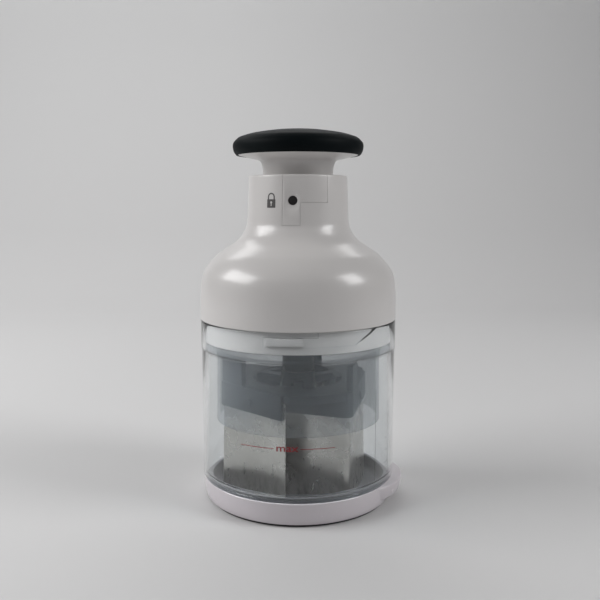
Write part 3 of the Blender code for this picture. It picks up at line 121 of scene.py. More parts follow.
class Wiring:
    """Small helper that adds and links the nodes of one tree."""

    def __init__(self, tree: bpy.types.NodeTree) -> None:
        """Keep the tree whose nodes are wired."""
        self.tree = tree

    def add(self, kind: str, **settings: Any) -> bpy.types.Node:
        """Add a node and set its properties.

        Args:
            kind: node type's identifier.
            **settings: properties of the node.

        Returns:
            The new node.
        """
        node = self.tree.nodes.new(kind)
        for name, value in settings.items():
            setattr(node, name, value)
        return node

    def feed(self, target: Any, value: Any) -> None:
        """Set an input socket, or link it to an output socket.

        Args:
            target: input socket.
            value: number, colour or output socket.
        """
        if isinstance(value, bpy.types.NodeSocket):
            self.tree.links.new(value, target)
        elif isinstance(value, tuple):
            target.default_value = (*value, 1.0)
        else:
            target.default_value = value

    def noise(self, vector: Any, scale: Any, detail: float = 2.0, rough: float = 0.5) -> Any:
        """Noise of a given scale.

        Args:
            vector: coordinate socket that it reads.
            scale: cycles a metre, a number or a socket.
            detail: octaves of the noise.
            rough: share that each octave keeps.

        Returns:
            The noise's factor socket.
        """
        node = self.add("ShaderNodeTexNoise")
        settings = {"Vector": vector, "Scale": scale, "Detail": detail, "Roughness": rough}
        for name, value in settings.items():
            self.feed(node.inputs[name], value)
        return node.outputs["Fac"]

    def stretch(self, vector: Any, scale: Sequence[float]) -> Any:
        """Coordinates scaled by unlike amounts, for streaks.

        Args:
            vector: coordinate socket that is scaled.
            scale: factors along X, Y and Z.

        Returns:
            The scaled coordinate socket.
        """
        node = self.add("ShaderNodeMapping")
        node.inputs["Scale"].default_value = tuple(scale)
        self.feed(node.inputs["Vector"], vector)
        return node.outputs["Vector"]

    def span(
        self, value: Any, low: float, high: float, to_low: float = 0.0, to_high: float = 1.0
    ) -> Any:
        """Value mapped from one range to another and clamped.

        Args:
            value: socket that is mapped.
            low: start of the range read.
            high: end of the range read.
            to_low: value given at the start.
            to_high: value given at the end.

        Returns:
            The mapped value's socket.
        """
        node = self.add("ShaderNodeMapRange")
        names = ("Value", "From Min", "From Max", "To Min", "To Max")
        for name, number in zip(names, (value, low, high, to_low, to_high)):
            self.feed(node.inputs[name], number)
        return node.outputs["Result"]

    def combine(self, operation: str, first: Any, second: Any) -> Any:
        """Arithmetic on two values, each a socket or a number.

        Args:
            operation: name of the operation.
            first: first operand.
            second: second operand.

        Returns:
            The result's socket.
        """
        node = self.add("ShaderNodeMath", operation=operation)
        self.feed(node.inputs[0], first)
        self.feed(node.inputs[1], second)
        return node.outputs["Value"]

    def blend(self, share: Any, first: Any, second: Any) -> Any:
        """Colour mixed from two, each a socket or a colour.

        Args:
            share: socket with the second colour's share.
            first: colour at a share of nothing.
            second: colour at a full share.

        Returns:
            The mixed colour's socket.
        """
        node = self.add("ShaderNodeMix", data_type="RGBA")
        self.feed(node.inputs["Factor"], share)
        self.feed(node.inputs[6], first)
        self.feed(node.inputs[7], second)
        return node.outputs[2]


class EffectGroups:
    """Node groups that several finishes share, built once."""

    def __init__(self) -> None:
        """Build each group."""
        self.grain = self._grain()
        self.handling = self._handling()
        self.brushing = self._brushing()

    @staticmethod
    def _start(name: str, scales: dict[str, float], results: Iterable[str]) -> Any:
        """Make an empty group that reads coordinates and scales.

        Args:
            name: name of the group.
            scales: name and default of each scale.
            results: name of each value that the group puts out.

        Returns:
            The group's wiring, the sockets it reads and the sockets it fills.
        """
        tree = bpy.data.node_groups.new(name, "ShaderNodeTree")
        sockets = tree.interface
        sockets.new_socket("Vector", in_out="INPUT", socket_type="NodeSocketVector")
        for title, value in scales.items():
            socket = sockets.new_socket(title, in_out="INPUT", socket_type="NodeSocketFloat")
            socket.default_value = value
        for title in results:
            sockets.new_socket(title, in_out="OUTPUT", socket_type="NodeSocketFloat")
        wiring = Wiring(tree)
        return wiring, wiring.add("NodeGroupInput").outputs, wiring.add("NodeGroupOutput").inputs

    def _grain(self) -> bpy.types.NodeTree:
        """Moulded grain: fine height, and slow drift of tone."""
        scales = {"Grain Scale": 3000.0, "Drift Scale": 40.0}
        wiring, given, filled = self._start("moulded_grain", scales, ("Height", "Drift"))
        fine = wiring.noise(given["Vector"], given["Grain Scale"], detail=3.0)
        wiring.feed(filled["Height"], fine)
        wiring.feed(filled["Drift"], wiring.noise(given["Vector"], given["Drift Scale"]))
        return wiring.tree

    def _handling(self) -> bpy.types.NodeTree:
        """Traces of use: soft smears and hairline scratches as masks."""
        scales = {"Smear Scale": 60.0, "Scratch Scale": 900.0}
        wiring, given, filled = self._start("handling_traces", scales, ("Smears", "Scratches"))
        smear = wiring.noise(given["Vector"], given["Smear Scale"], detail=5.0)
        upright = wiring.stretch(given["Vector"], (1.0, 1.0, 0.05))
        lines = wiring.noise(upright, given["Scratch Scale"], detail=1.0)
        wiring.feed(filled["Smears"], wiring.span(smear, 0.48, 0.72))
        wiring.feed(filled["Scratches"], wiring.span(lines, 0.66, 0.72))
        return wiring.tree

    def _brushing(self) -> bpy.types.NodeTree:
        """Rolling and grinding lines of sheet steel, along the sheet."""
        scales = {"Line Scale": 1200.0}
        wiring, given, filled = self._start("steel_brushing", scales, ("Lines", "Cloud"))
        level = wiring.stretch(given["Vector"], (0.03, 0.03, 1.0))
        wiring.feed(filled["Lines"], wiring.noise(level, given["Line Scale"], detail=4.0))
        wiring.feed(filled["Cloud"], wiring.noise(given["Vector"], 70.0, detail=4.0, rough=0.6))
        return wiring.tree


class Skin(Wiring):
    """Wiring of one material, with its shader and its object coordinates."""

    def __init__(self, name: str) -> None:
        """Make the material."""
        self.material = bpy.data.materials.new(name)
        self.material.use_nodes = True
        super().__init__(self.material.node_tree)
        self.shader = self.tree.nodes["Principled BSDF"]
        self.where = self.add("ShaderNodeTexCoord").outputs["Object"]

    def give(self, **values: Any) -> None:
        """Feed the shader's inputs, named with underscores for spaces."""
        for name, value in values.items():
            self.feed(self.shader.inputs[name.replace("_", " ")], value)

    def axis(self, name: str) -> Any:
        """Socket of one object coordinate, X, Y or Z."""
        node = self.add("ShaderNodeSeparateXYZ")
        self.feed(node.inputs["Vector"], self.where)
        return node.outputs[name]

    def effect(self, group: bpy.types.NodeTree, **scales: float) -> Any:
        """Place a shared group on the object's coordinates.

        Args:
            group: shared group.
            **scales: its scales, named with underscores for spaces.

        Returns:
            The group's output sockets.
        """
        node = self.add("ShaderNodeGroup", node_tree=group)
        self.feed(node.inputs["Vector"], self.where)
        for name, value in scales.items():
            node.inputs[name.replace("_", " ")].default_value = value
        return node.outputs

    def drift(self, value: Any, low: float = 0.0, high: float = 1.0) -> Any:
        """Slow noise spread over a range."""
        return self.span(value, 0.3, 0.7, low, high)

    def relief(self, height: Any, depth: float) -> None:
        """Feed a height to the shader's normal.

        Args:
            height: height socket.
            depth: distance of the bump, in metres.
        """
        bump = self.add("ShaderNodeBump")
        for name, value in (("Distance", depth), ("Strength", 1.0), ("Height", height)):
            self.feed(bump.inputs[name], value)
        self.give(Normal=bump.outputs["Normal"])


# Finishes


@dataclass(frozen=True)
class Finish:
    """Looks that every finish has."""

    name: str
    colour: Colour
    roughness: float

    def build(self, groups: EffectGroups) -> bpy.types.Material:
        """Make the material.

        Args:
            groups: shared effect groups.

        Returns:
            The finished material.
        """
        skin = Skin(self.name)
        skin.give(Base_Color=self.colour, Roughness=self.roughness)
        self.paint(skin, groups)
        return skin.material

    def paint(self, skin: Skin, groups: EffectGroups) -> None:
        """Wire the finish's own effects; a plain finish has none."""


@dataclass(frozen=True)
class Plastic(Finish):
    """Opaque moulded plastic with drift of tone, grain and smears."""

    shade: Colour = (0.7, 0.7, 0.7)
    coat: float = 0.0
    coat_roughness: float = 0.15
    grain_scale: float = 2500.0
    grain_depth: float = 0.004 * MM
    smear: float = 0.04

    def paint(self, skin: Skin, groups: EffectGroups) -> None:
        """Wire the drift of tone, the smears and the grain.

        Args:
            skin: material under work.
            groups: shared effect groups.
        """
        grain = skin.effect(groups.grain, Grain_Scale=self.grain_scale, Drift_Scale=30.0)
        hand = skin.effect(groups.handling, Smear_Scale=55.0, Scratch_Scale=700.0)
        dull = skin.span(hand["Smears"], 0.0, 1.0, self.roughness, self.roughness + self.smear)
        skin.give(
            Base_Color=skin.blend(skin.drift(grain["Drift"]), self.colour, self.shade),
            Roughness=dull,
            Coat_Weight=self.coat,
            Coat_Roughness=self.coat_roughness,
        )
        skin.relief(grain["Height"], self.grain_depth)


@dataclass(frozen=True)
class Rubber(Finish):
    """Soft rubber with a fine stippled grain and paler worn patches."""

    worn: Colour = (0.05, 0.05, 0.05)
    sheen: float = 0.5
    wear: float = 0.5
    unevenness: float = 0.05
    grain_scale: float = 1800.0
    grain_depth: float = 0.04 * MM

    def paint(self, skin: Skin, groups: EffectGroups) -> None:
        """Wire the worn patches, the uneven sheen and the grain.

        Args:
            skin: material under work.
            groups: shared effect groups.
        """
        grain = skin.effect(groups.grain, Grain_Scale=self.grain_scale, Drift_Scale=45.0)
        hand = skin.effect(groups.handling, Smear_Scale=40.0, Scratch_Scale=500.0)
        tone = skin.span(hand["Smears"], 0.0, 1.0, 0.0, self.wear)
        low, high = self.roughness - self.unevenness, self.roughness + self.unevenness
        skin.give(
            Base_Color=skin.blend(tone, self.colour, self.worn),
            Roughness=skin.drift(grain["Drift"], low, high),
            Specular_IOR_Level=self.sheen,
        )
        skin.relief(grain["Height"], self.grain_depth)


@dataclass(frozen=True)
class ClearPlastic(Finish):
    """Clear rigid plastic that lamps shine through."""

    tint: Colour = (0.89, 0.91, 0.92)
    index: float = 1.22
    coat: float = 0.6
    smear_share: float = 0.35
    smear: float = 0.03
    ripple_depth: float = 0.004 * MM

    def paint(self, skin: Skin, groups: EffectGroups) -> None:
        """Wire the tint, the marks and the ripple, and let shadow rays pass.

        Args:
            skin: material under work.
            groups: shared effect groups.
        """
        grain = skin.effect(groups.grain, Grain_Scale=120.0, Drift_Scale=25.0)
        hand = skin.effect(groups.handling, Smear_Scale=70.0, Scratch_Scale=1500.0)
        smears = skin.combine("MULTIPLY", hand["Smears"], self.smear_share)
        marks = skin.combine("MAXIMUM", smears, hand["Scratches"])
        skin.give(
            Transmission_Weight=1.0,
            IOR=self.index,
            Coat_Weight=self.coat,
            Roughness=skin.span(marks, 0.0, 1.0, self.roughness, self.roughness + self.smear),
            Base_Color=skin.blend(skin.drift(grain["Drift"]), self.colour, self.tint),
        )
        skin.relief(grain["Height"], self.ripple_depth)
        through = skin.add("ShaderNodeBsdfTransparent")
        skin.feed(through.inputs["Color"], self.tint)
        mixed = skin.add("ShaderNodeMixShader")
        skin.feed(mixed.inputs["Fac"], skin.add("ShaderNodeLightPath").outputs["Is Shadow Ray"])
        skin.feed(mixed.inputs[1], skin.shader.outputs["BSDF"])
        skin.feed(mixed.inputs[2], through.outputs["BSDF"])
        output = skin.tree.nodes["Material Output"]
        skin.feed(output.inputs["Surface"], mixed.outputs["Shader"])


@dataclass(frozen=True)
class HazyPlastic(Finish):
    """Translucent plastic: a thin milky veil over what is behind it."""

    veil: float = 0.16
    edge_veil: float = 0.45
    cloud: float = 0.04
    smear: float = 0.06
    edge_blend: float = 0.35
    grain_depth: float = 0.01 * MM

    def paint(self, skin: Skin, groups: EffectGroups) -> None:
        """Wire the veil, denser in clouds, smears and at a grazing angle.

        Args:
            skin: material under work.
            groups: shared effect groups.
        """
        grain = skin.effect(groups.grain, Grain_Scale=900.0, Drift_Scale=60.0)
        hand = skin.effect(groups.handling, Smear_Scale=90.0, Scratch_Scale=1100.0)
        low, high = self.veil - self.cloud, self.veil + self.cloud
        cloud = skin.span(grain["Drift"], 0.25, 0.75, low, high)
        smears = skin.combine("MULTIPLY", hand["Smears"], self.smear)
        rim = skin.add("ShaderNodeLayerWeight")
        rim.inputs["Blend"].default_value = self.edge_blend
        veil = skin.add("ShaderNodeMix", data_type="FLOAT")
        skin.feed(veil.inputs["Factor"], rim.outputs["Facing"])
        skin.feed(veil.inputs["A"], skin.combine("ADD", cloud, smears))
        skin.feed(veil.inputs["B"], self.edge_veil)
        skin.give(Alpha=veil.outputs["Result"])
        skin.relief(grain["Height"], self.grain_depth)


@dataclass(frozen=True)
class Steel(Finish):
    """Sheet or turned steel with brushing lines, clouding and food smears."""

    dark: Colour = (0.35, 0.34, 0.32)
    line_scale: float = 1200.0
    line_depth: float = 0.002 * MM
    stain_top: float = 0.0
    stain_height: float = 0.02
    stain_dull: float = 0.15
    clouding: float = 0.35
    smear: float = 0.12

    def paint(self, skin: Skin, groups: EffectGroups) -> None:
        """Wire the brushing, the clouding and the stains near the lower edge.

        Args:
            skin: material under work.
            groups: shared effect groups.
        """
        brush = skin.effect(groups.brushing, Line_Scale=self.line_scale)
        hand = skin.effect(groups.handling, Smear_Scale=120.0, Scratch_Scale=900.0)
        low = skin.span(
            skin.axis("Z"), self.stain_top, self.stain_top + self.stain_height, 1.0, 0.0
        )
        blot = skin.noise(skin.stretch(skin.where, (1.0, 1.0, 0.45)), 260.0, detail=5.0, rough=0.65)
        stain = skin.combine("MULTIPLY", low, skin.span(blot, 0.42, 0.62))
        cloud = skin.drift(brush["Cloud"], 0.0, self.clouding)
        share = skin.combine("MAXIMUM", stain, cloud)
        dull = skin.span(hand["Smears"], 0.0, 1.0, self.roughness, self.roughness + self.smear)
        stained = skin.combine("MULTIPLY", stain, self.stain_dull)
        skin.give(
            Metallic=1.0,
            Base_Color=skin.blend(share, self.colour, self.dark),
            Roughness=skin.combine("ADD", dull, stained),
        )
        skin.relief(brush["Lines"], self.line_depth)


@dataclass
class Paintbox:
    """Every material of the chopper, by record slot, and two inks."""

    groups: EffectGroups = field(default_factory=EffectGroups)
    materials: dict[Slot, bpy.types.Material] = field(default_factory=dict)
    icon_ink: bpy.types.Material | None = None
    line_ink: bpy.types.Material | None = None

    def fill(self) -> None:
        """Build the materials."""
        finishes: dict[Slot, Finish] = {
            Slot.WHITE_GLOSS: Plastic(
                "warm_white_gloss", (0.62, 0.60, 0.59), 0.30, (0.60, 0.58, 0.57), coat=0.3
            ),
            Slot.BASE_WHITE: Plastic(
                "base_white_gloss", (0.63, 0.59, 0.62), 0.24, (0.61, 0.57, 0.60), coat=0.3
            ),
            Slot.PAD_RUBBER: Rubber(
                "pad_rubber", (0.0022, 0.0042, 0.005), 0.55, (0.004, 0.007, 0.008), sheen=0.07
            ),
            Slot.FOOT_RUBBER: Rubber("foot_rubber", (0.012, 0.012, 0.013), 0.6, (0.03, 0.03, 0.03)),
            # Painted shade: the mat's grey stands in for the shade on the floor inside the cup.
            Slot.MAT_PAINTED_SHADE: Rubber("mat_painted_shade_rubber", (0.15, 0.15, 0.16), 0.5, (0.18, 0.18, 0.19)),
            # Painted shade: a dark ring that stands in for the shade where the cup wall bends light
            # away.
            Slot.PAINTED_SHADE_RING: Rubber("painted_shade_ring_rubber", (0.11, 0.113, 0.125), 0.45, (0.13, 0.13, 0.14)),
            Slot.CLEAR_CUP: ClearPlastic("clear_cup_plastic", (0.90, 0.92, 0.925), 0.03),
            Slot.SMOKY_GUARD: HazyPlastic("hazy_guard_plastic", (0.20, 0.23, 0.255), 0.25),
            Slot.CARRIER_SLATE: Plastic(
                "slate_plastic", (0.018, 0.026, 0.034), 0.38, (0.015, 0.022, 0.029), coat=0.1
            ),
            Slot.BLADE_STEEL: Steel(
                "blade_steel",
                (0.62, 0.605, 0.575),
                0.27,
                (0.34, 0.325, 0.30),
                line_scale=1400.0,
                stain_top=6.0 * MM,
                stain_height=22.0 * MM,
            ),
            Slot.BRIGHT_STEEL: Steel(
                "plated_steel", (0.66, 0.66, 0.67), 0.24, (0.5, 0.5, 0.5), 2500.0, stain_top=-1.0
            ),
            Slot.NYLON: Plastic("natural_nylon", (0.70, 0.69, 0.63), 0.42, (0.66, 0.65, 0.60)),
            Slot.BUTTON_BLACK: Plastic(
                "button_black", (0.012, 0.010, 0.010), 0.3, (0.02, 0.018, 0.018)
            ),
        }
        for slot, finish in finishes.items():
            self.materials[slot] = finish.build(self.groups)
        icon = Plastic("icon_ink", (0.075, 0.07, 0.07), 0.35, (0.09, 0.085, 0.085))
        line = Plastic("fill_line_ink", (0.27, 0.009, 0.016), 0.3, (0.24, 0.008, 0.014))
        self.icon_ink = icon.build(self.groups)
        self.line_ink = line.build(self.groups)

    def dress(self, node: bpy.types.Object, slot: Slot) -> None:
        """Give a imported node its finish.

        Args:
            node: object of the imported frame.
            slot: record slot of the node.
        """
        node.data.materials.clear()
        node.data.materials.append(self.materials[slot])
        smooth(node.data, 32.0)


# Modelling helpers


def smooth(mesh: bpy.types.Mesh, angle: float) -> None:
    """Shade a mesh smooth, but for edges sharper than an angle in degrees."""
    mesh.shade_smooth()
    mesh.set_sharp_from_angle(angle=math.radians(angle))


def of_kind(kind: type, items: Iterable[Any]) -> list[Any]:
    """Vertices, edges or faces among what an operator gave back."""
    return [item for item in items if isinstance(item, kind)]


def extrude_line(bm: bmesh.types.BMesh, edges: Sequence[Any], shift: Sequence[float]) -> list[Any]:
    """Extrude a line of edges by a shift.

    Args:
        bm: bmesh that is changed.
        edges: edges of the line.
        shift: vector of the move.

    Returns:
        What was made.
    """
    grown = bmesh.ops.extrude_edge_only(bm, edges=edges)["geom"]
    bmesh.ops.translate(bm, verts=of_kind(bmesh.types.BMVert, grown), vec=shift)
    return grown


def extrude_face(bm: bmesh.types.BMesh, faces: Sequence[Any], rise: float) -> list[Any]:
    """Extrude faces upwards.

    Args:
        bm: bmesh that is changed.
        faces: faces that are extruded.
        rise: height of the move.

    Returns:
        The moved faces.
    """
    grown = bmesh.ops.extrude_face_region(bm, geom=faces)["geom"]
    bmesh.ops.translate(bm, verts=of_kind(bmesh.types.BMVert, grown), vec=(0.0, 0.0, rise))
    return of_kind(bmesh.types.BMFace, grown)


def rounded(corners: Sequence[Corner], segments: int = 4) -> list[Point]:
    """Outline whose corners are rounded by arcs.

    Args:
        corners: radius, height and fillet of each corner; no fillet leaves it sharp.
        segments: segments of each arc.

    Returns:
        Points of the rounded outline.
    """
    points: list[Point] = []
    last = len(corners) - 1
    for i, (across, height, fillet) in enumerate(corners):
        if fillet <= 0.0 or i in (0, last):
            points.append((across, height))
            continue
        here = Vector((across, height))
        before = Vector(corners[i - 1][:2]) - here
        after = Vector(corners[i + 1][:2]) - here
        half = before.angle(after) / 2
        reach = min(fillet / math.tan(half), before.length * 0.49, after.length * 0.49)
        size = reach * math.tan(half)
        middle = here + (before.normalized() + after.normalized()).normalized() * (size / math.sin(half))
        first = here + before.normalized() * reach - middle
        turn = first.angle_signed(here + after.normalized() * reach - middle)
        for k in range(segments + 1):
            spot = middle + Matrix.Rotation(-turn * k / segments, 2) @ first
            points.append((spot.x, spot.y))
    return points


def flowing(points: Sequence[Point], pieces: int = 6) -> list[Point]:
    """Smooth curve through points, by Catmull-Rom pieces.

    Args:
        points: points that the curve passes through.
        pieces: segments between two points.

    Returns:
        Points of the curve.
    """
    padded = [points[0], *points, points[-1]]
    curve: list[Point] = []
    for quad in zip(padded, padded[1:], padded[2:], padded[3:]):
        for k in range(pieces):
            t = k / pieces
            curve.append(
                tuple(
                    0.5
                    * (
                        2 * b
                        + (c - a) * t
                        + (2 * a - 5 * b + 4 * c - d) * t * t
                        + (3 * b - a - 3 * c + d) * t ** 3
                    )
                    for a, b, c, d in zip(*quad)
                )
            )
    curve.append(points[-1])
    return curve


def wrap(
    piece: bpy.types.Object, radius: float, azimuth: float, height: float, taper: float = 0.0
) -> None:
    """Bend a flat piece in the XZ plane round the chopper's axis.

    Args:
        piece: object drawn flat, with +Y behind its face.
        radius: radius of the surface at the piece's middle.
        azimuth: place of its middle, in degrees.
        height: height of its middle.
        taper: radius lost for each metre of height.
    """
    for vert in piece.data.vertices:
        angle = math.radians(azimuth - 90.0) + vert.co.x / radius
        reach = radius - vert.co.y - taper * vert.co.z
        vert.co = Vector((reach * math.cos(angle), reach * math.sin(angle), height + vert.co.z))


class Workbench:
    """Operations that make, cut and mount the new pieces."""

    def __init__(self, paints: Paintbox) -> None:
        """Keep the materials of the chopper."""
        self.paints = paints

    @staticmethod
    def to_object(name: str, bm: bmesh.types.BMesh, angle: float = 35.0) -> bpy.types.Object:
        """Turn a bmesh into an object at the origin, shaded smooth by angle.

        Args:
            name: name of the object.
            bm: bmesh, which is freed.
            angle: largest smooth angle between faces, in degrees.

        Returns:
            The new object.
        """
        mesh = bpy.data.meshes.new(name)
        bm.to_mesh(mesh)
        bm.free()
        smooth(mesh, angle)
        piece = bpy.data.objects.new(name, mesh)
        bpy.context.scene.collection.objects.link(piece)
        return piece

    def revolve(
        self,
        name: str,
        outline: Sequence[Point],
        steps: int = 192,
        closed: bool = False,
        angle: float = 35.0,
    ) -> bpy.types.Object:
        """Spin an outline of (radius, height) points about the chopper's axis.

        Args:
            name: name of the object.
            outline: points; an open outline starts and ends on the axis.
            steps: steps of the full turn.
            closed: whether the outline is a ring's closed section.
            angle: largest smooth angle between faces, in degrees.

        Returns:
            The new object.
        """
        bm = bmesh.new()
        verts = [bm.verts.new((radius, 0.0, height)) for radius, height in outline]
        edges = [bm.edges.new(pair) for pair in zip(verts, verts[1:])]
        if closed:
            edges.append(bm.edges.new((verts[-1], verts[0])))
        bmesh.ops.spin(
            bm,
            geom=[*verts, *edges],
            cent=ORIGIN,
            axis=AXIS,
            angle=math.tau,
            steps=steps,
            use_merge=True,
        )
        bmesh.ops.remove_doubles(bm, verts=bm.verts, dist=WELD)
        bmesh.ops.recalc_face_normals(bm, faces=bm.faces)
        return self.to_object(name, bm, angle)

    def ring(
        self, name: str, seam: float, corners: Sequence[Corner], steps: int = 192
    ) -> bpy.types.Object:
        """Revolve a closed section that starts and ends at a seam on its bore.

        Args:
            name: name of the object.
            seam: height of the seam.
            corners: corners with their fillets, the first one up the bore.
            steps: steps of the full turn.

        Returns:
            The new object.
        """
        bore = corners[0][0]
        section = rounded([(bore, seam, 0.0), *corners, (bore, seam - SEAM_GAP, 0.0)])
        return self.revolve(name, section, steps, closed=True)

    def sweep(
        self,
        name: str,
        section: Sequence[float],
        start: float,
        span: float,
        steps: int,
        rise: float = 0.0,
    ) -> bpy.types.Object:
        """Sweep a rectangle from an azimuth round the axis, rising if asked.

        Args:
            name: name of the object.
            section: inner and outer radius, lowest and highest height.
            start: first azimuth from the front, to the right, in degrees.
            span: angle of the sweep, in degrees.
            steps: steps of the sweep.
            rise: height gained over the sweep.

        Returns:
            The new object.
        """
        near, far, low, high = section
        corners = ((far, high), (far, low), (near, low), (near, high))
        bm = bmesh.new()
        face = bm.faces.new([bm.verts.new((radius, 0.0, height)) for radius, height in corners])
        turn = Matrix.Rotation(math.radians(start - 90.0), 3, "Z")
        bmesh.ops.rotate(bm, verts=face.verts, cent=ORIGIN, matrix=turn)
        bmesh.ops.spin(
            bm,
            geom=[face, *face.edges, *face.verts],
            cent=ORIGIN,
            axis=AXIS,
            dvec=(0.0, 0.0, rise / steps),
            angle=math.radians(span),
            steps=steps,
        )
        bmesh.ops.recalc_face_normals(bm, faces=bm.faces)
        return self.to_object(name, bm)

    def peg(
        self, name: str, radius: float, depth: float, place: Point, steps: int = 64
    ) -> bpy.types.Object:
        """Cylinder that points out of the front.

        Args:
            name: name of the object.
            radius: its radius.
            depth: its length.
            place: distance of its middle from the axis, and height.
            steps: sides of the cylinder.

        Returns:
            The new object.
        """
        distance, height = place
        middle = Matrix.Translation((0.0, -distance, height)) @ Matrix.Rotation(math.pi / 2, 4, "X")
        bm = bmesh.new()
        bmesh.ops.create_cone(
            bm,
            cap_ends=True,
            segments=steps,
            radius1=radius,
            radius2=radius,
            depth=depth,
            matrix=middle,
        )
        return self.to_object(name, bm)

    def block(
        self, name: str, size: Sequence[float], middle: Sequence[float], corner: float = 0.0
    ) -> bpy.types.Object:
        """Box whose corners, seen from the front, may be rounded.

        Args:
            name: name of the object.
            size: its width, depth and height.
            middle: place of its middle.
            corner: radius of its corners.

        Returns:
            The new object.
        """
        bm = bmesh.new()
        place = Matrix.Translation(middle) @ Matrix.Diagonal((*size, 1.0))
        bmesh.ops.create_cube(bm, size=1.0, matrix=place)
        if corner > 0.0:
            across = [e for e in bm.edges if abs(e.verts[0].co.y - e.verts[1].co.y) > WELD]
            bmesh.ops.bevel(
                bm, geom=across, offset=corner, affect="EDGES", segments=3, profile=0.5, material=-1
            )
        return self.to_object(name, bm)

    @staticmethod
    def settle(piece: bpy.types.Object) -> None:
        """Replace a piece's mesh by what its modifiers make of it."""
        graph = bpy.context.evaluated_depsgraph_get()
        graph.update()
        mesh = bpy.data.meshes.new_from_object(piece.evaluated_get(graph), depsgraph=graph)
        piece.modifiers.clear()
        piece.data = mesh

    def carve(
        self, piece: bpy.types.Object, tools: Iterable[bpy.types.Object], operation: str = "DIFFERENCE"
    ) -> None:
        """Cut, join or trim a piece with others, which are used up.

        Args:
            piece: object that is changed.
            tools: objects that change it.
            operation: name of the boolean operation.
        """
        used = list(tools)
        for tool in used:
            mod = piece.modifiers.new(tool.name, "BOOLEAN")
            mod.operation = operation
            mod.solver = "EXACT"
            mod.object = tool
        self.settle(piece)
        for tool in used:
            bpy.data.objects.remove(tool, do_unlink=True)
        smooth(piece.data, 30.0)

    def soften(self, piece: bpy.types.Object, width: float, angle: float = 40.0) -> None:
        """Round a piece's sharp edges.

        Args:
            piece: object that is changed.
            width: width of the rounding.
            angle: least angle of an edge that is rounded, in degrees.
        """
        mod = piece.modifiers.new("edge_round", "BEVEL")
        mod.width = width
        mod.segments = 3
        mod.limit_method = "ANGLE"
        mod.angle_limit = math.radians(angle)
        mod.use_clamp_overlap = True
        mod.harden_normals = False
        self.settle(piece)
        smooth(piece.data, 50.0)

    def mount(
        self,
        piece: bpy.types.Object,
        body: Body,
        slot: Slot,
        *nodes: str,
        material: bpy.types.Material | None = None,
    ) -> None:
        """Paint a piece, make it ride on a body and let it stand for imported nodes.

        Args:
            piece: finished object.
            body: body that it moves with.
            slot: record slot of its finish.
            *nodes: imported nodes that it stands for.
            material: finish other than the slot's own.
        """
        piece.data.materials.clear()
        piece.data.materials.append(material or self.paints.materials[slot])
        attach(piece, body.value)
        if nodes:
            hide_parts(*nodes)
        LOG.info("%s: %d faces on %s", piece.name, len(piece.data.polygons), body.value)


# Sub-assemblies


@dataclass
class Unit:
    """Sub-assembly that is made on a workbench."""

    bench: Workbench


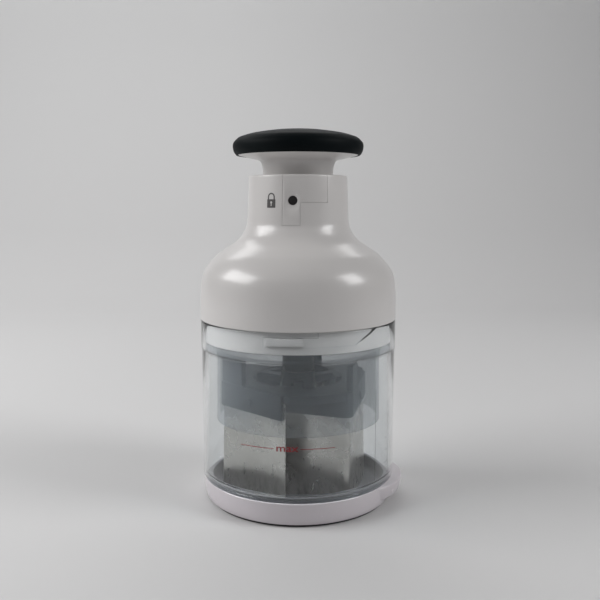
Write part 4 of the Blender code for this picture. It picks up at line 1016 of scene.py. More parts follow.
@dataclass
class BaseUnit(Unit):
    """Foot, white cap with its lifting lip, mat whose grey is painted shade, and a dark ring of painted
    shade.
    """

    foot_radius: float = 44.6 * MM
    foot_height: float = 0.8 * MM
    bottom: float = 1.1 * MM
    rim: float = 11.65 * MM
    rim_radius: float = 47.3 * MM
    rim_round: float = 0.2 * MM
    undercut: float = 2.0 * MM
    inner_radius: float = 46.1 * MM
    floor: float = 3.5 * MM
    overrun: float = 5.0 * MM
    lip_radius: float = 30.0 * MM
    lip_undercut: float = 1.6 * MM
    lip_centre: float = 22.5 * MM
    lip_drop: float = 0.3 * MM
    lip_depth: float = 7.2 * MM
    lip_round: float = 0.9 * MM
    mat_bottom: float = 3.8 * MM
    mat_top: float = 6.0 * MM
    mat_rim: float = 13.7 * MM
    mat_radius: float = 43.75 * MM
    mat_wall: float = 1.9 * MM
    mat_fillet: float = 3.4 * MM
    groove_depth: float = 0.9 * MM
    # Dark ring of painted shade in the mat's groove.
    shade_ring_top: float = 12.9 * MM
    shade_ring_height: float = 3.4 * MM
    shade_ring_play: float = 0.3 * MM
    shade_ring_proud: float = 0.2 * MM

    def build(self) -> None:
        """Make and mount the base's pieces."""
        self.foot()
        self.cap()
        self.mat()
        # Dark ring of painted shade.
        self.seal()

    def foot(self) -> None:
        """Black disc under the base, with a rounded lower edge."""
        top, radius = self.foot_height, self.foot_radius
        outline = rounded(
            [(0.0, top, 0.0), (radius, top, 0.1 * MM), (radius, 0.0, 0.25 * MM), (0.0, 0.0, 0.0)]
        )
        foot = self.bench.revolve("foot_disc", outline)
        self.bench.mount(foot, Body.BASE, Slot.FOOT_RUBBER, "nonslip_foot")

    def cap(self) -> None:
        """White cap: a bowed side, a rounded rim and the crescent lip."""
        shares = (
            (1.0, 0.98), (0.97, 0.85), (0.92, 0.70), (0.78, 0.42), (0.59, 0.20), (0.32, 0.05),
            (0.0, 0.0),
        )
        low = self.rim_radius - self.undercut
        height = self.rim - self.bottom
        side = flowing([(low + self.undercut * r, self.bottom + height * h) for r, h in shares], 4)
        edge = (self.rim_radius - self.rim_round, self.rim)
        cap = self.bench.revolve(
            "base_shell", [(0.0, self.rim), edge, *side, (0.0, self.bottom)]
        )
        self.bench.carve(cap, [self.lip()], "UNION")
        top = self.rim + self.overrun
        hollow = rounded(
            [
                (0.0, top, 0.0),
                (self.inner_radius, top, 0.0),
                (self.inner_radius, self.floor, 1.2 * MM),
                (0.0, self.floor, 0.0),
            ]
        )
        self.bench.carve(cap, [self.bench.revolve("base_hollow", hollow)])
        self.bench.mount(cap, Body.BASE, Slot.BASE_WHITE, "base_cap")

    def lip(self) -> bpy.types.Object:
        """Tapered disc with rounded edges, whose crescent stands out of the cap."""
        middle = self.rim - self.lip_drop - self.lip_depth / 2
        bm = bmesh.new()
        bmesh.ops.create_cone(
            bm,
            cap_ends=True,
            segments=160,
            radius1=self.lip_radius - self.lip_undercut,
            radius2=self.lip_radius,
            depth=self.lip_depth,
            matrix=Matrix.Translation((self.lip_centre, 0.0, middle)),
        )
        rims = [e for e in bm.edges if abs(e.verts[0].co.z - e.verts[1].co.z) < WELD]
        bmesh.ops.bevel(
            bm, geom=rims, offset=self.lip_round, affect="EDGES", segments=4, profile=0.5, material=-1
        )
        return self.bench.to_object("lip_form", bm)

    def mat(self) -> None:
        """Dish with a concave fillet, and the dark ring's groove in its rim; the dish's grey colour is
        painted shade.
        """
        inner = self.mat_radius - self.mat_wall
        shade_ring_low = self.shade_ring_top - self.shade_ring_height
        groove = self.mat_radius - self.groove_depth
        corners = [
            (0.0, self.mat_top, 0.0),
            (inner, self.mat_top, self.mat_fillet),
            (inner, self.mat_rim, 0.5 * MM),
            (self.mat_radius, self.mat_rim, 0.35 * MM),
            (self.mat_radius, self.shade_ring_top, 0.1 * MM),
            (groove, self.shade_ring_top, 0.0),
            (groove, shade_ring_low, 0.0),
            (self.mat_radius, shade_ring_low, 0.1 * MM),
            (self.mat_radius, self.mat_bottom, 0.4 * MM),
            (0.0, self.mat_bottom, 0.0),
        ]
        mat = self.bench.revolve("dish_mat", rounded(corners, 6))
        self.bench.mount(mat, Body.BASE, Slot.MAT_PAINTED_SHADE, "base_mat")

    def seal(self) -> None:
        """Dark ring of painted shade in the groove, with a waist between its two beads; it stands in for
        the shade where the cup wall bends light away.
        """
        low = self.shade_ring_top - self.shade_ring_height + self.shade_ring_play
        high = self.shade_ring_top - self.shade_ring_play
        near = self.mat_radius - self.groove_depth + self.shade_ring_play
        far = self.mat_radius + self.shade_ring_proud
        section = [
            (far - 0.15 * MM, high),
            (far, high - 0.5 * MM),
            (far - 0.18 * MM, (low + high) / 2),
            (far, low + 0.5 * MM),
            (far - 0.15 * MM, low),
            (near, low),
            (near, high),
        ]
        seal = self.bench.revolve("painted_shade_ring", section, closed=True)
        self.bench.mount(seal, Body.BASE, Slot.PAINTED_SHADE_RING, "cup_seal")


@dataclass
class CupUnit(Unit):
    """Clear cup with bayonet grooves, its marks, and the hazy guard."""

    radius: float = 48.0 * MM
    body_radius: float = 47.7 * MM
    bore: float = 45.0 * MM
    bore_blend: Point = (14.7 * MM, 15.8 * MM)
    collar_bore: float = 46.1 * MM
    rim: float = 89.4 * MM
    ledge: float = 75.5 * MM
    seam: float = 82.0 * MM
    shoulder: float = 11.95 * MM
    shoulder_radius: float = 47.3 * MM
    spigot_radius: float = 45.7 * MM
    spigot_bore: float = 44.35 * MM
    spigot_length: float = 5.8 * MM
    lug_centre: float = -1.75
    lug_span: float = 21.1
    lug_low: float = 83.2 * MM
    lug_high: float = 86.7 * MM
    groove_radius: float = 47.3 * MM
    groove_gap: float = 0.4 * MM
    overrun: float = 3.0 * MM
    twist: float = 30.0
    play: float = 1.0
    ramp: float = 15.5
    guard_radius: float = 40.6 * MM
    guard_wall: float = 1.5 * MM
    guard_low: float = 40.5 * MM
    guard_seam: float = 60.0 * MM
    guard_top: float = 79.0 * MM
    guard_gap: float = 0.3 * MM
    line_height: float = 37.4 * MM
    line_half: float = 0.15 * MM
    word_width: float = 10.0 * MM
    word_squash: float = 0.78
    scale_uprights: tuple[Point, ...] = ((69.6, 52.0 * MM), (54.6, 60.0 * MM))
    scale_low: float = 17.0 * MM
    scale_line: float = 0.28
    tick_start: float = 66.0
    tick_span: float = 3.8
    tick_height: float = 0.3 * MM
    ticks: tuple[float, ...] = (23.0 * MM, 29.0 * MM, 35.0 * MM, 41.0 * MM, 46.5 * MM)

    def build(self) -> None:
        """Make and mount the cup's pieces."""
        self.cup()
        self.guard()
        self.fill_line()
        self.graduations()

    def groove(self, number: int) -> list[bpy.types.Object]:
        """Cutters of one bayonet groove: level run, mouth and slanted side.

        Args:
            number: which of the three grooves.

        Returns:
            The cutters.
        """
        near, far = self.collar_bore - self.overrun, self.groove_radius
        low, high = self.lug_low - self.groove_gap, self.lug_high + self.groove_gap
        top = self.rim + self.overrun
        start = self.lug_centre - self.lug_span / 2 - self.play + THIRD_TURN * number
        width = self.lug_span + 2 * self.play
        mouth = start + self.twist
        slant = mouth + width - self.play
        runs = (
            ("run", high, start, self.twist + width, 30, 0.0),
            ("mouth", top, mouth, width, 14, 0.0),
            ("ramp", top, slant, self.ramp + self.play, 10, self.rim - low),
        )
        return [
            self.bench.sweep(f"{name}_{number}", (near, far, low, end), begin, span, steps, rise)
            for name, end, begin, span, steps, rise in runs
        ]

    def cup(self) -> None:
        """Clear wall turned with small rounds at its rim, ledge and foot."""
        low = self.shoulder - self.spigot_length
        blend_low, blend_high = self.bore_blend
        corners = [
            (self.collar_bore, self.rim, 0.3 * MM),
            (self.radius, self.rim, 0.45 * MM),
            (self.radius, self.ledge, 0.0),
            (self.body_radius, self.ledge - 0.5 * MM, 0.0),
            (self.body_radius, self.shoulder + 0.8 * MM, 0.0),
            (self.shoulder_radius, self.shoulder, 0.25 * MM),
            (self.spigot_radius, self.shoulder, 0.0),
            (self.spigot_radius, low, 0.4 * MM),
            (self.spigot_bore, low, 0.4 * MM),
            (self.spigot_bore, blend_low, 0.0),
            (self.bore, blend_high, 0.3 * MM),
            (self.bore, self.ledge, 0.25 * MM),
            (self.collar_bore, self.ledge, 0.0),
        ]
        cup = self.bench.ring("clear_cup", self.seam, corners)
        self.bench.carve(cup, [tool for number in range(REPEATS) for tool in self.groove(number)])
        self.bench.mount(cup, Body.CUP, Slot.CLEAR_CUP, "cup")

    def guard(self) -> None:
        """Hazy tube hung by its flange, with rounded edges."""
        inner = self.guard_radius - self.guard_wall
        flange_low = self.ledge + self.guard_gap
        flange = self.collar_bore - self.guard_gap
        corners = [
            (inner, self.guard_top, 0.5 * MM),
            (flange, self.guard_top, 0.5 * MM),
            (flange, flange_low, 0.2 * MM),
            (self.guard_radius, flange_low, 0.5 * MM),
            (self.guard_radius, self.guard_low, 0.4 * MM),
            (inner, self.guard_low, 0.4 * MM),
        ]
        guard = self.bench.ring("hazy_guard", self.guard_seam, corners)
        self.bench.mount(guard, Body.CUP, Slot.SMOKY_GUARD, "blade_guard")

    def fill_line(self) -> None:
        """Red fill line in two strokes with its plain word between them."""
        near, far = self.body_radius + 0.005 * MM, self.body_radius + 0.05 * MM
        section = (near, far, self.line_height - self.line_half, self.line_height + self.line_half)
        pieces = [
            self.bench.sweep("fill_line_left", section, -26.8, 19.6, 40),
            self.bench.sweep("fill_line_right", section, 7.2, 19.0, 40),
            self.word(),
        ]
        for piece in pieces:
            self.bench.mount(piece, Body.CUP, Slot.CLEAR_CUP, material=self.bench.paints.line_ink)

    def word(self) -> bpy.types.Object:
        """Word of the fill line, as thin letters bent round the cup.

        Returns:
            The new object.
        """
        data = bpy.data.curves.new("fill_word_outline", "FONT")
        data.body = "max"
        data.align_x = "CENTER"
        data.offset = 0.012
        data.extrude = 0.02
        draft = bpy.data.objects.new("fill_word_draft", data)
        bpy.context.scene.collection.objects.link(draft)
        graph = bpy.context.evaluated_depsgraph_get()
        mesh = bpy.data.meshes.new_from_object(draft.evaluated_get(graph), depsgraph=graph)
        bpy.data.objects.remove(draft, do_unlink=True)
        word = bpy.data.objects.new("fill_word", mesh)
        bpy.context.scene.collection.objects.link(word)
        across = [vert.co.x for vert in mesh.vertices]
        size = self.word_width / (max(across) - min(across))
        half_letter = 0.24
        for vert in mesh.vertices:
            x, y, z = vert.co
            rise = (y - half_letter) * size * self.word_squash
            vert.co = (x * size, 0.03 * MM - z * 1.0 * MM, rise)
        bm = bmesh.new()
        bm.from_mesh(mesh)
        bmesh.ops.remove_doubles(bm, verts=bm.verts, dist=WELD)
        bmesh.ops.recalc_face_normals(bm, faces=bm.faces)
        bm.to_mesh(mesh)
        bm.free()
        wrap(word, self.body_radius + 0.055 * MM, 0.0, self.line_height)
        return word

    def graduations(self) -> None:
        """Raised measuring scale on the cup's right side: two uprights and ticks."""
        near, far = self.body_radius - 0.05 * MM, self.body_radius + 0.09 * MM
        marks = [(start, self.scale_line, self.scale_low, top) for start, top in self.scale_uprights]
        marks += [
            (self.tick_start, self.tick_span, level, level + self.tick_height)
            for level in self.ticks
        ]
        first, *others = [
            self.bench.sweep(f"scale_mark_{number}", (near, far, low, high), start, span, 6)
            for number, (start, span, low, high) in enumerate(marks)
        ]
        for mark in others:
            self.bench.carve(first, [mark], "UNION")
        first.name = "cup_scale"
        self.bench.mount(first, Body.CUP, Slot.CLEAR_CUP)


@dataclass
class HousingUnit(Unit):
    """White dome and neck, its locking ring, inset panel and bush."""

    bottom: float = 89.7 * MM
    cup_radius: float = 48.0 * MM
    neck_base: float = 138.4 * MM
    neck_radius: float = 24.67 * MM
    neck_top: float = 158.7 * MM
    neck_taper: float = 0.83 * MM
    edge_round: float = 0.9 * MM
    bore: float = 21.2 * MM
    bore_end: float = 132.5 * MM
    wall: float = 2.2 * MM
    gap: float = 0.3 * MM
    overrun: float = 3.0 * MM
    collar_low: float = 79.3 * MM
    collar_high: float = 98.5 * MM
    collar_seam: float = 90.0 * MM
    collar_radius: float = 45.7 * MM
    collar_inner: float = 43.1 * MM
    lug_radius: float = 46.9 * MM
    lug_root: float = 1.0 * MM
    lug_low: float = 83.2 * MM
    lug_high: float = 86.7 * MM
    lug_start: float = -12.3
    lug_span: float = 21.1
    panel_back: float = 22.6 * MM
    panel_inset: float = 0.06 * MM
    panel_gap: float = 0.1 * MM
    panel_left: float = -11.3
    panel_right: float = 40.0
    panel_narrow_right: float = 8.0
    panel_wide_bottom: float = 145.9 * MM
    panel_low_bottom: float = 135.4 * MM
    button_height: float = 146.8 * MM
    button_hole: float = 2.16 * MM
    button_pocket: float = 3.6 * MM
    dimple_radius: float = 4.5 * MM
    dimple_depth: float = 0.9 * MM
    bush_bore: float = 17.4 * MM
    bush_radius: float = 20.9 * MM
    bush_flange: float = 22.4 * MM
    bush_top: float = 158.1 * MM
    bush_seam: float = 140.0 * MM
    bush_step: float = 130.6 * MM
    bush_bottom: float = 129.2 * MM
    sign_azimuth: float = -24.6
    sign_height: float = 147.0 * MM
    sign_depth: float = 0.04 * MM
    sign_middle: float = -1.6 * MM
    sign_width: float = 4.4 * MM
    sign_rise: float = 3.9 * MM
    shackle_inner: float = 1.25 * MM
    shackle_outer: float = 1.85 * MM
    shackle_leg: float = 1.2 * MM

    def outer(self, inset: float = 0.0) -> list[Point]:
        """Outer side from the neck's rim down to the cup.

        Args:
            inset: distance that the side is drawn in.

        Returns:
            Points of the side.
        """
        shares = (
            (0.0, 1.0), (0.016, 0.935), (0.060, 0.881), (0.136, 0.821), (0.262, 0.762),
            (0.451, 0.702), (0.623, 0.645), (0.752, 0.585), (0.852, 0.526), (0.920, 0.468),
            (0.960, 0.407), (0.984, 0.335), (1.0, 0.228), (1.0, 0.1), (1.0, 0.004),
        )
        height = self.neck_base - self.bottom
        reach = self.cup_radius - self.neck_radius
        dome = flowing([(self.neck_radius + reach * r, self.bottom + height * h) for r, h in shares], 5)
        top = self.neck_radius - self.neck_taper
        arc = [
            (
                top - self.edge_round * (1 - math.sin(angle)),
                self.neck_top - self.edge_round * (1 - math.cos(angle)),
            )
            for angle in (math.pi / 2 * k / 6 for k in range(7))
        ]
        return [(radius - inset, height) for radius, height in [*arc, *dome]]

    def build(self) -> None:
        """Make and mount the housing's pieces."""
        self.shell()
        self.panel()
        self.collar()
        self.bush()
        self.padlock()

    def shell(self) -> None:
        """Dome and neck in one wall, with the panel's pocket cut in."""
        side = self.outer()
        low = [(r, z) for r, z in side if z < self.neck_base - 8.0 * MM]
        inner = [(r - self.wall, z) for r, z in low[::3]]
        inner = [(r, z) for r, z in inner if r > self.bore + 2.0 * MM]
        inner[-1] = (inner[-1][0], self.bottom)
        outline = [
            *side,
            (self.cup_radius - self.gap, self.bottom),
            *reversed(inner),
            (self.bore, self.bore_end),
            (self.bore, self.neck_top - self.gap),
            (self.bore + self.gap, self.neck_top),
        ]
        shell = self.bench.revolve("dome_shell", outline, closed=True)
        self.bench.carve(shell, self.panel_forms(self.panel_gap))
        place = (self.bore + 1.0 * MM, self.button_height)
        hole = self.bench.peg("button_passage", self.button_pocket, 6.0 * MM, place)
        self.bench.carve(shell, [hole])
        self.bench.mount(shell, Body.HOUSING, Slot.WHITE_GLOSS, "upper_housing")

    def panel_forms(self, grow: float) -> list[bpy.types.Object]:
        """Two sweeps that make the panel's stepped outline.

        Args:
            grow: distance that the outline is widened.

        Returns:
            The wide and the low form.
        """
        back, far = self.panel_back - grow, self.neck_radius + self.overrun
        top = self.neck_top + self.overrun
        angle = math.degrees(grow / self.neck_radius)
        left = self.panel_left - angle
        step, low = self.panel_wide_bottom - grow, self.panel_low_bottom - grow
        wide, narrow = self.panel_right + angle - left, self.panel_narrow_right + angle - left
        return [
            self.bench.sweep("panel_wide", (back, far, step, top), left, wide, 27),
            self.bench.sweep("panel_low", (back, far, low, step + self.overrun), left, narrow, 10),
        ]

    def panel(self) -> None:
        """Inset panel with softened edges, a finger dimple and the button's hole."""
        wide, low = self.panel_forms(0.0)
        self.bench.carve(wide, [low], "UNION")
        skin = self.outer(self.panel_inset)
        outline = [(0.0, self.neck_top), *skin, (0.0, skin[-1][1])]
        self.bench.carve(wide, [self.bench.revolve("neck_skin", outline)], "INTERSECT")
        self.bench.soften(wide, 0.4 * MM, 35.0)
        share = (self.button_height - self.neck_base) / (self.neck_top - self.neck_base)
        surface = self.neck_radius - self.neck_taper * share - self.panel_inset
        size = (self.dimple_radius ** 2 + self.dimple_depth ** 2) / (2 * self.dimple_depth)
        middle = (0.0, -(surface + size - self.dimple_depth), self.button_height)
        bm = bmesh.new()
        bmesh.ops.create_uvsphere(
            bm, u_segments=96, v_segments=64, radius=size, matrix=Matrix.Translation(middle)
        )
        ball = self.bench.to_object("dimple_ball", bm)
        place = (self.panel_back, self.button_height)
        hole = self.bench.peg("button_hole", self.button_hole, 8.0 * MM, place)
        self.bench.carve(wide, [ball, hole])
        wide.name = "lock_panel"
        self.bench.mount(wide, Body.HOUSING, Slot.WHITE_GLOSS, "neck_panel")

    def collar(self) -> None:
        """White ring that turns inside the cup's collar, with three lugs."""
        step = self.cup_radius - self.wall - self.gap
        corners = [
            (self.collar_inner, self.collar_high, 0.2 * MM),
            (step, self.collar_high, 0.2 * MM),
            (step, self.bottom - 0.3 * MM, 0.0),
            (self.collar_radius, self.bottom - 0.4 * MM, 0.0),
            (self.collar_radius, self.collar_low, 0.35 * MM),
            (self.collar_inner, self.collar_low, 0.35 * MM),
        ]
        ring = self.bench.ring("bayonet_ring", self.collar_seam, corners)
        section = (self.collar_radius - self.lug_root, self.lug_radius, self.lug_low, self.lug_high)
        for number in range(REPEATS):
            start = self.lug_start + THIRD_TURN * number
            lug = self.bench.sweep(f"lug_{number}", section, start, self.lug_span, 12)
            self.bench.soften(lug, 0.35 * MM)
            self.bench.carve(ring, [lug], "UNION")
        self.bench.mount(ring, Body.HOUSING, Slot.WHITE_GLOSS, "lock_collar")

    def bush(self) -> None:
        """Guide bush in the neck, with a chamfered mouth."""
        corners = [
            (self.bush_bore, self.bush_top, 0.6 * MM),
            (self.bush_radius, self.bush_top, 0.3 * MM),
            (self.bush_radius, self.bush_step, 0.0),
            (self.bush_flange, self.bush_step, 0.2 * MM),
            (self.bush_flange, self.bush_bottom, 0.2 * MM),
            (self.bush_bore, self.bush_bottom, 0.4 * MM),
        ]
        bush = self.bench.ring("guide_bush", self.bush_seam, corners, 128)
        height = self.button_height
        pocket = self.bench.peg("bush_pocket", self.button_pocket, 6.0 * MM, (self.bore, height))
        tip = self.bench.peg("bush_tip", 1.8 * MM, 8.0 * MM, (18.5 * MM, height))
        self.bench.carve(bush, [pocket, tip])
        self.bench.mount(bush, Body.HOUSING, Slot.WHITE_GLOSS, "neck_bush")

    def padlock(self) -> None:
        """Printed padlock sign: body with a keyhole, and its shackle."""
        slope = self.neck_taper / (self.neck_top - self.neck_base)
        radius = self.neck_radius - slope * (self.sign_height - self.neck_base) + self.sign_depth / 2
        size = (self.sign_width, self.sign_depth, self.sign_rise)
        lock = self.bench.block("padlock_sign", size, (0.0, 0.0, self.sign_middle), 0.3 * MM)
        eye = self.bench.peg("key_eye", 0.55 * MM, 1.0 * MM, (0.0, self.sign_middle + 0.5 * MM), 24)
        place = (0.0, 0.0, self.sign_middle - 0.35 * MM)
        slit = self.bench.block("key_slit", (0.5 * MM, 1.0 * MM, 1.5 * MM), place)
        self.bench.carve(lock, [eye, slit])
        shackle = self.shackle(self.sign_middle + self.sign_rise / 2 - 0.1 * MM)
        for piece in (lock, shackle):
            self.slice_across(piece)
            wrap(piece, radius, self.sign_azimuth, self.sign_height, slope)
            ink = self.bench.paints.icon_ink
            self.bench.mount(piece, Body.HOUSING, Slot.WHITE_GLOSS, material=ink)

    def shackle(self, foot: float) -> bpy.types.Object:
        """Shackle of the padlock sign: two legs and a half turn between them.

        Args:
            foot: height at which its legs start.

        Returns:
            The flat shackle.
        """
        inner, outer, half = self.shackle_inner, self.shackle_outer, self.sign_depth / 2
        corners = ((inner, -half), (outer, -half), (outer, half), (inner, half))
        bm = bmesh.new()
        face = bm.faces.new([bm.verts.new((x, y, foot)) for x, y in corners])
        bend = foot + self.shackle_leg
        top = extrude_face(bm, [face], bend - foot)
        turned = bmesh.ops.spin(
            bm,
            geom=[*top, *top[0].edges, *top[0].verts],
            cent=(0.0, 0.0, bend),
            axis=(0.0, -1.0, 0.0),
            dvec=ORIGIN,
            angle=math.pi,
            steps=16,
        )["geom_last"]
        extrude_face(bm, of_kind(bmesh.types.BMFace, turned), foot - bend)
        inside = [f for f in bm.faces if all(len(edge.link_faces) > 2 for edge in f.edges)]
        bmesh.ops.delete(bm, geom=inside, context="FACES_ONLY")
        bmesh.ops.recalc_face_normals(bm, faces=bm.faces)
        return self.bench.to_object("padlock_shackle", bm)

    def slice_across(self, piece: bpy.types.Object) -> None:
        """Cut a flat piece into upright strips, so that it bends smoothly.

        Args:
            piece: object that is cut.
        """
        bm = bmesh.new()
        bm.from_mesh(piece.data)
        for share in (-0.4, -0.24, -0.08, 0.08, 0.24, 0.4):
            bmesh.ops.bisect_plane(
                bm,
                geom=[*bm.verts, *bm.edges, *bm.faces],
                plane_co=(share * self.sign_width, 0.0, 0.0),
                plane_no=(1.0, 0.0, 0.0),
            )
        bm.to_mesh(piece.data)
        bm.free()


@dataclass
class LockUnit(Unit):
    """Black lock button, recessed in its dimple."""

    height: float = 146.8 * MM
    face: float = 23.7 * MM
    radius: float = 2.06 * MM
    flange_radius: float = 3.2 * MM
    flange_out: float = 22.3 * MM
    flange_in: float = 21.5 * MM
    tip_radius: float = 1.4 * MM
    tip: float = 17.7 * MM

    def build(self) -> None:
        """Turn the button, lay it towards the front and mount it."""
        corners = [
            (0.0, self.face - 0.12 * MM, 0.0),
            (self.radius * 0.6, self.face - 0.1 * MM, 0.4 * MM),
            (self.radius, self.face, 0.2 * MM),
            (self.radius, self.flange_out, 0.0),
            (self.flange_radius, self.flange_out, 0.1 * MM),
            (self.flange_radius, self.flange_in, 0.1 * MM),
            (self.tip_radius, self.flange_in, 0.1 * MM),
            (self.tip_radius, self.tip, 0.3 * MM),
            (0.0, self.tip, 0.0),
        ]
        button = self.bench.revolve("lock_dot", rounded(corners), 64)
        turn = Matrix.Translation((0.0, 0.0, self.height)) @ Matrix.Rotation(math.pi / 2, 4, "X")
        button.data.transform(turn)
        self.bench.mount(button, Body.BUTTON, Slot.BUTTON_BLACK, "lock_button")


@dataclass
class PlungerUnit(Unit):
    """White sleeve with its flared flange, and the soft pad over it."""

    sleeve_radius: float = 17.0 * MM
    sleeve_bore: float = 15.2 * MM
    sleeve_bottom: float = 114.5 * MM
    sleeve_chamfer: float = 0.4 * MM
    slot_width: float = 3.6 * MM
    slot_depth: float = 8.0 * MM
    slot_rise: float = 34.1 * MM
    overrun: float = 3.0 * MM
    flare_radius: float = 19.5 * MM
    flare_height: float = 166.3 * MM
    cove_height: float = 5.8 * MM
    flange_radius: float = 29.0 * MM
    flange_edge: float = 168.4 * MM
    flange_top: float = 171.0 * MM
    flange_floor: float = 0.6 * MM
    flange_wall: float = 1.8 * MM
    web_low: float = 163.0 * MM
    web_high: float = 165.5 * MM
    web_bore: float = 8.4 * MM
    pad_radius: float = 31.5 * MM
    pad_skirt: float = 168.35 * MM
    pad_top: float = 180.5 * MM
    pad_gap: float = 0.3 * MM
    pad_crown: float = 2.1 * MM
    pad_well: float = 9.5 * MM
    plate_top: float = 175.5 * MM

    def build(self) -> None:
        """Make and mount the plunger's pieces."""
        self.sleeve()
        self.pad()

    def sleeve(self) -> None:
        """Sleeve, cove and flange in one wall, with the catch's slot."""
        shares = ((1.0, 1.0), (0.48, 0.86), (0.20, 0.60), (0.06, 0.30), (0.0, 0.0))
        reach = self.flare_radius - self.sleeve_radius
        cove = [
            (self.sleeve_radius + reach * r, self.flare_height - self.cove_height * (1 - h))
            for r, h in shares
        ]
        edge = ((0.0, 0.5 * MM), (0.15 * MM, 0.15 * MM), (0.5 * MM, 0.0))
        floor = self.flange_edge + self.flange_floor
        outline = [
            (self.flange_radius, self.flange_top),
            *((self.flange_radius - inset, self.flange_edge + rise) for inset, rise in edge),
            *flowing(cove, 5),
            (self.sleeve_radius, self.sleeve_bottom + self.sleeve_chamfer),
            (self.sleeve_radius - self.sleeve_chamfer, self.sleeve_bottom),
            (self.sleeve_bore, self.sleeve_bottom),
            (self.sleeve_bore, self.web_low),
            (self.web_bore, self.web_low),
            (self.web_bore, self.web_high),
            (self.sleeve_bore, self.web_high),
            (self.flare_radius, floor),
            (self.flange_radius - self.flange_wall, floor),
            (self.flange_radius - self.flange_wall, self.flange_top),
        ]
        sleeve = self.bench.revolve("flared_sleeve", outline, 160, closed=True, angle=40.0)
        top = self.sleeve_bottom + self.slot_rise
        place = (0.0, -self.sleeve_radius, (self.sleeve_bottom - self.overrun + top) / 2)
        size = (self.slot_width, self.slot_depth, top - self.sleeve_bottom + self.overrun)
        self.bench.carve(sleeve, [self.bench.block("sleeve_slot", size, place)])
        self.bench.mount(sleeve, Body.PLUNGER, Slot.WHITE_GLOSS, "plunger_sleeve")

    def pad(self) -> None:
        """Crowned black pad with a full, rounded edge."""
        shares = (
            (0.0, 1.0), (0.2, 0.996), (0.4, 0.967), (0.52, 0.926), (0.64, 0.877), (0.76, 0.815),
            (0.86, 0.736), (0.92, 0.671), (0.983, 0.51), (1.0, 0.364), (0.99, 0.18),
            (0.965, 0.055), (0.945, 0.0),
        )
        height = self.pad_top - self.pad_skirt
        crown = flowing([(self.pad_radius * r, self.pad_skirt + height * h) for r, h in shares])
        bore = self.flange_radius + self.pad_gap
        roof = self.plate_top + self.pad_gap
        under = self.pad_top - self.pad_crown
        inner = [
            (bore, self.pad_skirt),
            (bore, roof),
            (self.flare_radius, roof),
            (self.pad_well, under),
            (0.0, under),
        ]
        pad = self.bench.revolve("palm_pad", [*crown, *inner], 160, angle=50.0)
        self.bench.mount(pad, Body.PLUNGER, Slot.PAD_RUBBER, "knob_pad")


@dataclass
class RotorUnit(Unit):
    """Bent blades with ground edges, on their packed carrier."""

    thickness: float = 0.5 * MM
    tip: float = 6.5 * MM
    top: float = 54.7 * MM
    grind: float = 1.2 * MM
    ground_share: float = 0.12
    top_band: float = 0.4 * MM
    vertex_radius: float = 38.2 * MM
    bend_radius: float = 2.6 * MM
    bend_steps: int = 12
    first_vertex: float = -46.4
    long_angle: float = 51.6
    short_angle: float = 31.9
    long_leg: float = 44.5 * MM
    short_leg: float = 38.0 * MM

    def path(self) -> list[Vector]:
        """Plan points of one blade whose corner lies on +X, long leg first.

        Returns:
            The points.
        """
        corner = Vector((self.vertex_radius, 0.0))
        far = math.pi - math.radians(self.long_angle)
        near = math.pi + math.radians(self.short_angle)
        opening = near - far
        tangent = self.bend_radius / math.tan(opening / 2)
        long_way, short_way, middle_way = (
            Vector((math.cos(angle), math.sin(angle))) for angle in (far, near, (near + far) / 2)
        )
        centre = corner + middle_way * (self.bend_radius / math.sin(opening / 2))
        first = corner + long_way * tangent
        begin = math.atan2(first.y - centre.y, first.x - centre.x)
        points = [corner + long_way * self.long_leg]
        for k in range(self.bend_steps + 1):
            angle = begin - (math.pi - opening) * k / self.bend_steps
            points.append(centre + Vector((math.cos(angle), math.sin(angle))) * self.bend_radius)
        points.append(corner + short_way * self.short_leg)
        return points

    def build(self) -> None:
        """Make and mount the three blades."""
        for number in range(REPEATS):
            self.blade(number)

    def blade(self, number: int) -> None:
        """One bent sheet whose lower edge is ground thin.

        Args:
            number: which of the three blades.
        """
        turn = Matrix.Rotation(math.radians(self.first_vertex + THIRD_TURN * number), 2)
        bm = bmesh.new()
        verts = [bm.verts.new((*(turn @ point), self.tip)) for point in self.path()]
        edges: Any = [bm.edges.new(pair) for pair in zip(verts, verts[1:])]
        middle = self.top - self.tip - self.grind - self.top_band
        for level in (self.grind, middle, self.top_band):
            grown = extrude_line(bm, edges, (0.0, 0.0, level))
            raised = of_kind(bmesh.types.BMVert, grown)
            edges = [
                edge
                for edge in of_kind(bmesh.types.BMEdge, grown)
                if all(vert in raised for vert in edge.verts)
            ]
        bmesh.ops.recalc_face_normals(bm, faces=bm.faces)
        blade = self.bench.to_object(f"bent_blade_{number + 1}", bm, 30.0)
        edge = blade.vertex_groups.new(name="full_thickness")
        for vert in blade.data.vertices:
            share = self.ground_share if vert.co.z < self.tip + WELD else 1.0
            edge.add([vert.index], share, "REPLACE")
        solid = blade.modifiers.new("sheet", "SOLIDIFY")
        solid.thickness = self.thickness
        solid.offset = 0.0
        solid.use_even_offset = True
        solid.vertex_group = edge.name
        self.bench.settle(blade)
        smooth(blade.data, 20.0)
        self.bench.mount(blade, Body.ROTOR, Slot.BLADE_STEEL, f"blade_{number + 1}")


# Studio


@dataclass(frozen=True)
class Lamp:
    """Soft rectangular lamp that faces a target."""

    name: str
    place: Sequence[float]
    target: Sequence[float]
    size: Point
    power: float

    def build(self) -> None:
        """Make the lamp and link it."""
        data = bpy.data.lights.new(self.name, "AREA")
        data.shape = "RECTANGLE"
        data.size, data.size_y = self.size
        data.energy = self.power
        lamp = bpy.data.objects.new(self.name, data)
        lamp.location = self.place
        aim = Vector(self.target) - Vector(self.place)
        lamp.rotation_euler = aim.to_track_quat("-Z", "Y").to_euler()
        bpy.context.scene.collection.objects.link(lamp)


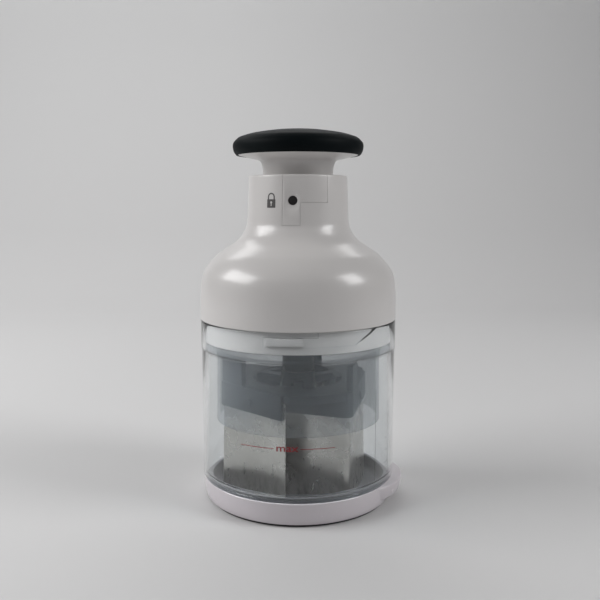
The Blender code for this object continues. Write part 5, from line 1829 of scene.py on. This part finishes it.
@dataclass
class Studio:
    """Pale sweep, soft lamps and the camera."""

    camera_place: tuple[float, float, float] = (38.04 * MM, -361.9 * MM, 145.1 * MM)
    camera_tilt: float = 7.38
    camera_turn: float = 6.0
    lens: float = 44.38
    shift: float = 0.00307
    sweep_width: float = 4.8
    sweep_front: float = -1.6
    sweep_depth: float = 1.1
    sweep_rise: float = 1.6
    sweep_bend: float = 0.5
    bend_steps: int = 16
    # Painted light and shade of the paper: paler up the backdrop, darker to the right.
    painted_light_backdrop_colour: Colour = (0.90, 0.90, 0.90)
    floor_colour: Colour = (0.64, 0.635, 0.635)
    painted_shade_colour: Colour = (0.44, 0.435, 0.44)
    paper_roughness: float = 0.75
    paper_grain: float = 0.02 * MM
    world_colour: Colour = (0.86, 0.88, 0.90)
    world_strength: float = 0.115

    def build(self) -> None:
        """Make the sweep, lamps, world and camera."""
        self.sweep()
        self.lamps()
        self.world()
        self.camera()

    def sweep(self) -> None:
        """Floor that curves up into a backdrop behind the chopper."""
        start, bend = self.sweep_depth - self.sweep_bend, self.sweep_bend
        angles = (math.pi / 2 * k / self.bend_steps for k in range(1, self.bend_steps + 1))
        outline = [
            (self.sweep_front, 0.0),
            (start, 0.0),
            *((start + bend * math.sin(a), bend * (1 - math.cos(a))) for a in angles),
            (self.sweep_depth, self.sweep_rise),
        ]
        bm = bmesh.new()
        verts = [bm.verts.new((-self.sweep_width / 2, y, z)) for y, z in outline]
        edges = [bm.edges.new(pair) for pair in zip(verts, verts[1:])]
        extrude_line(bm, edges, (self.sweep_width, 0.0, 0.0))
        turn = Matrix.Rotation(math.radians(self.camera_turn), 3, "Z")
        bmesh.ops.rotate(bm, verts=bm.verts, cent=ORIGIN, matrix=turn)
        bmesh.ops.recalc_face_normals(bm, faces=bm.faces)
        floor = Workbench.to_object("studio_sweep", bm, 60.0)
        floor.data.materials.append(self.paper())

    def paper(self) -> bpy.types.Material:
        """Paper with painted light and shade: painted paler up the backdrop and painted darker to the
        right.

        Returns:
            The material.
        """
        skin = Skin("studio_paper")
        # Painted light: paler up the backdrop.
        share = skin.span(skin.axis("Z"), 0.10, 0.80)
        # Painted shade: darker to the right.
        side = skin.span(skin.axis("X"), -0.25, 0.60, 0.0, 0.45)
        tone = skin.blend(share, self.floor_colour, self.painted_light_backdrop_colour)
        tone = skin.blend(side, tone, self.painted_shade_colour)
        skin.give(Base_Color=tone, Roughness=self.paper_roughness)
        skin.relief(skin.noise(skin.where, 500.0, detail=3.0), self.paper_grain)
        return skin.material

    @staticmethod
    def lamps() -> None:
        """A softbox on each side and a wide one high behind."""
        middle = (0.0, 0.0, 0.10)
        Lamp("softbox_left", (-0.95, -0.24, 0.70), middle, (0.85, 0.50), 9.8).build()
        Lamp("softbox_right", (0.95, -0.20, 0.68), middle, (0.42, 0.55), 6.0).build()
        Lamp("overhead", (-0.20, 1.00, 1.15), (-0.05, 0.10, 0.0), (1.8, 0.5), 8.5).build()

    def world(self) -> None:
        """Even pale surround."""
        world = bpy.data.worlds.new("studio_world")
        world.use_nodes = True
        back = world.node_tree.nodes["Background"]
        back.inputs["Color"].default_value = (*self.world_colour, 1.0)
        back.inputs["Strength"].default_value = self.world_strength
        bpy.context.scene.world = world

    def camera(self) -> None:
        """Camera at the height and angle of a seated viewer."""
        data = bpy.data.cameras.new("studio_camera")
        data.lens = self.lens
        data.sensor_width = 36.0
        data.shift_x = self.shift
        camera = bpy.data.objects.new("studio_camera", data)
        camera.location = self.camera_place
        tilt, turn = math.radians(90.0 - self.camera_tilt), math.radians(self.camera_turn)
        camera.rotation_euler = (tilt, 0.0, turn)
        scene = bpy.context.scene
        scene.collection.objects.link(camera)
        scene.camera = camera
        scene.view_settings.view_transform = "Standard"


@dataclass
class Chopper:
    """The whole chopper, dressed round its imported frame."""

    frame: dict[str, Any]
    bench: Workbench

    def dress_nodes(self) -> None:
        """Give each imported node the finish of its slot."""
        slots = {entry["node"]: entry["material_slot"] for entry in self.frame["record"]["subparts"]}
        for name, node in self.frame["nodes"].items():
            self.bench.paints.dress(node, Slot(slots[name]))
            LOG.info("%s: %s", name, slots[name])

    def build(self) -> None:
        """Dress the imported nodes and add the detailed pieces."""
        self.dress_nodes()
        for unit in (BaseUnit, CupUnit, HousingUnit, LockUnit, PlungerUnit, RotorUnit):
            unit(self.bench).build()


def main() -> None:
    """Build the looks and the studio."""
    logging.basicConfig(level=logging.INFO, format="%(name)s: %(message)s")
    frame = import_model()
    paints = Paintbox()
    paints.fill()
    Chopper(frame, Workbench(paints)).build()
    Studio().build()


if __name__ == "__main__":
    main()
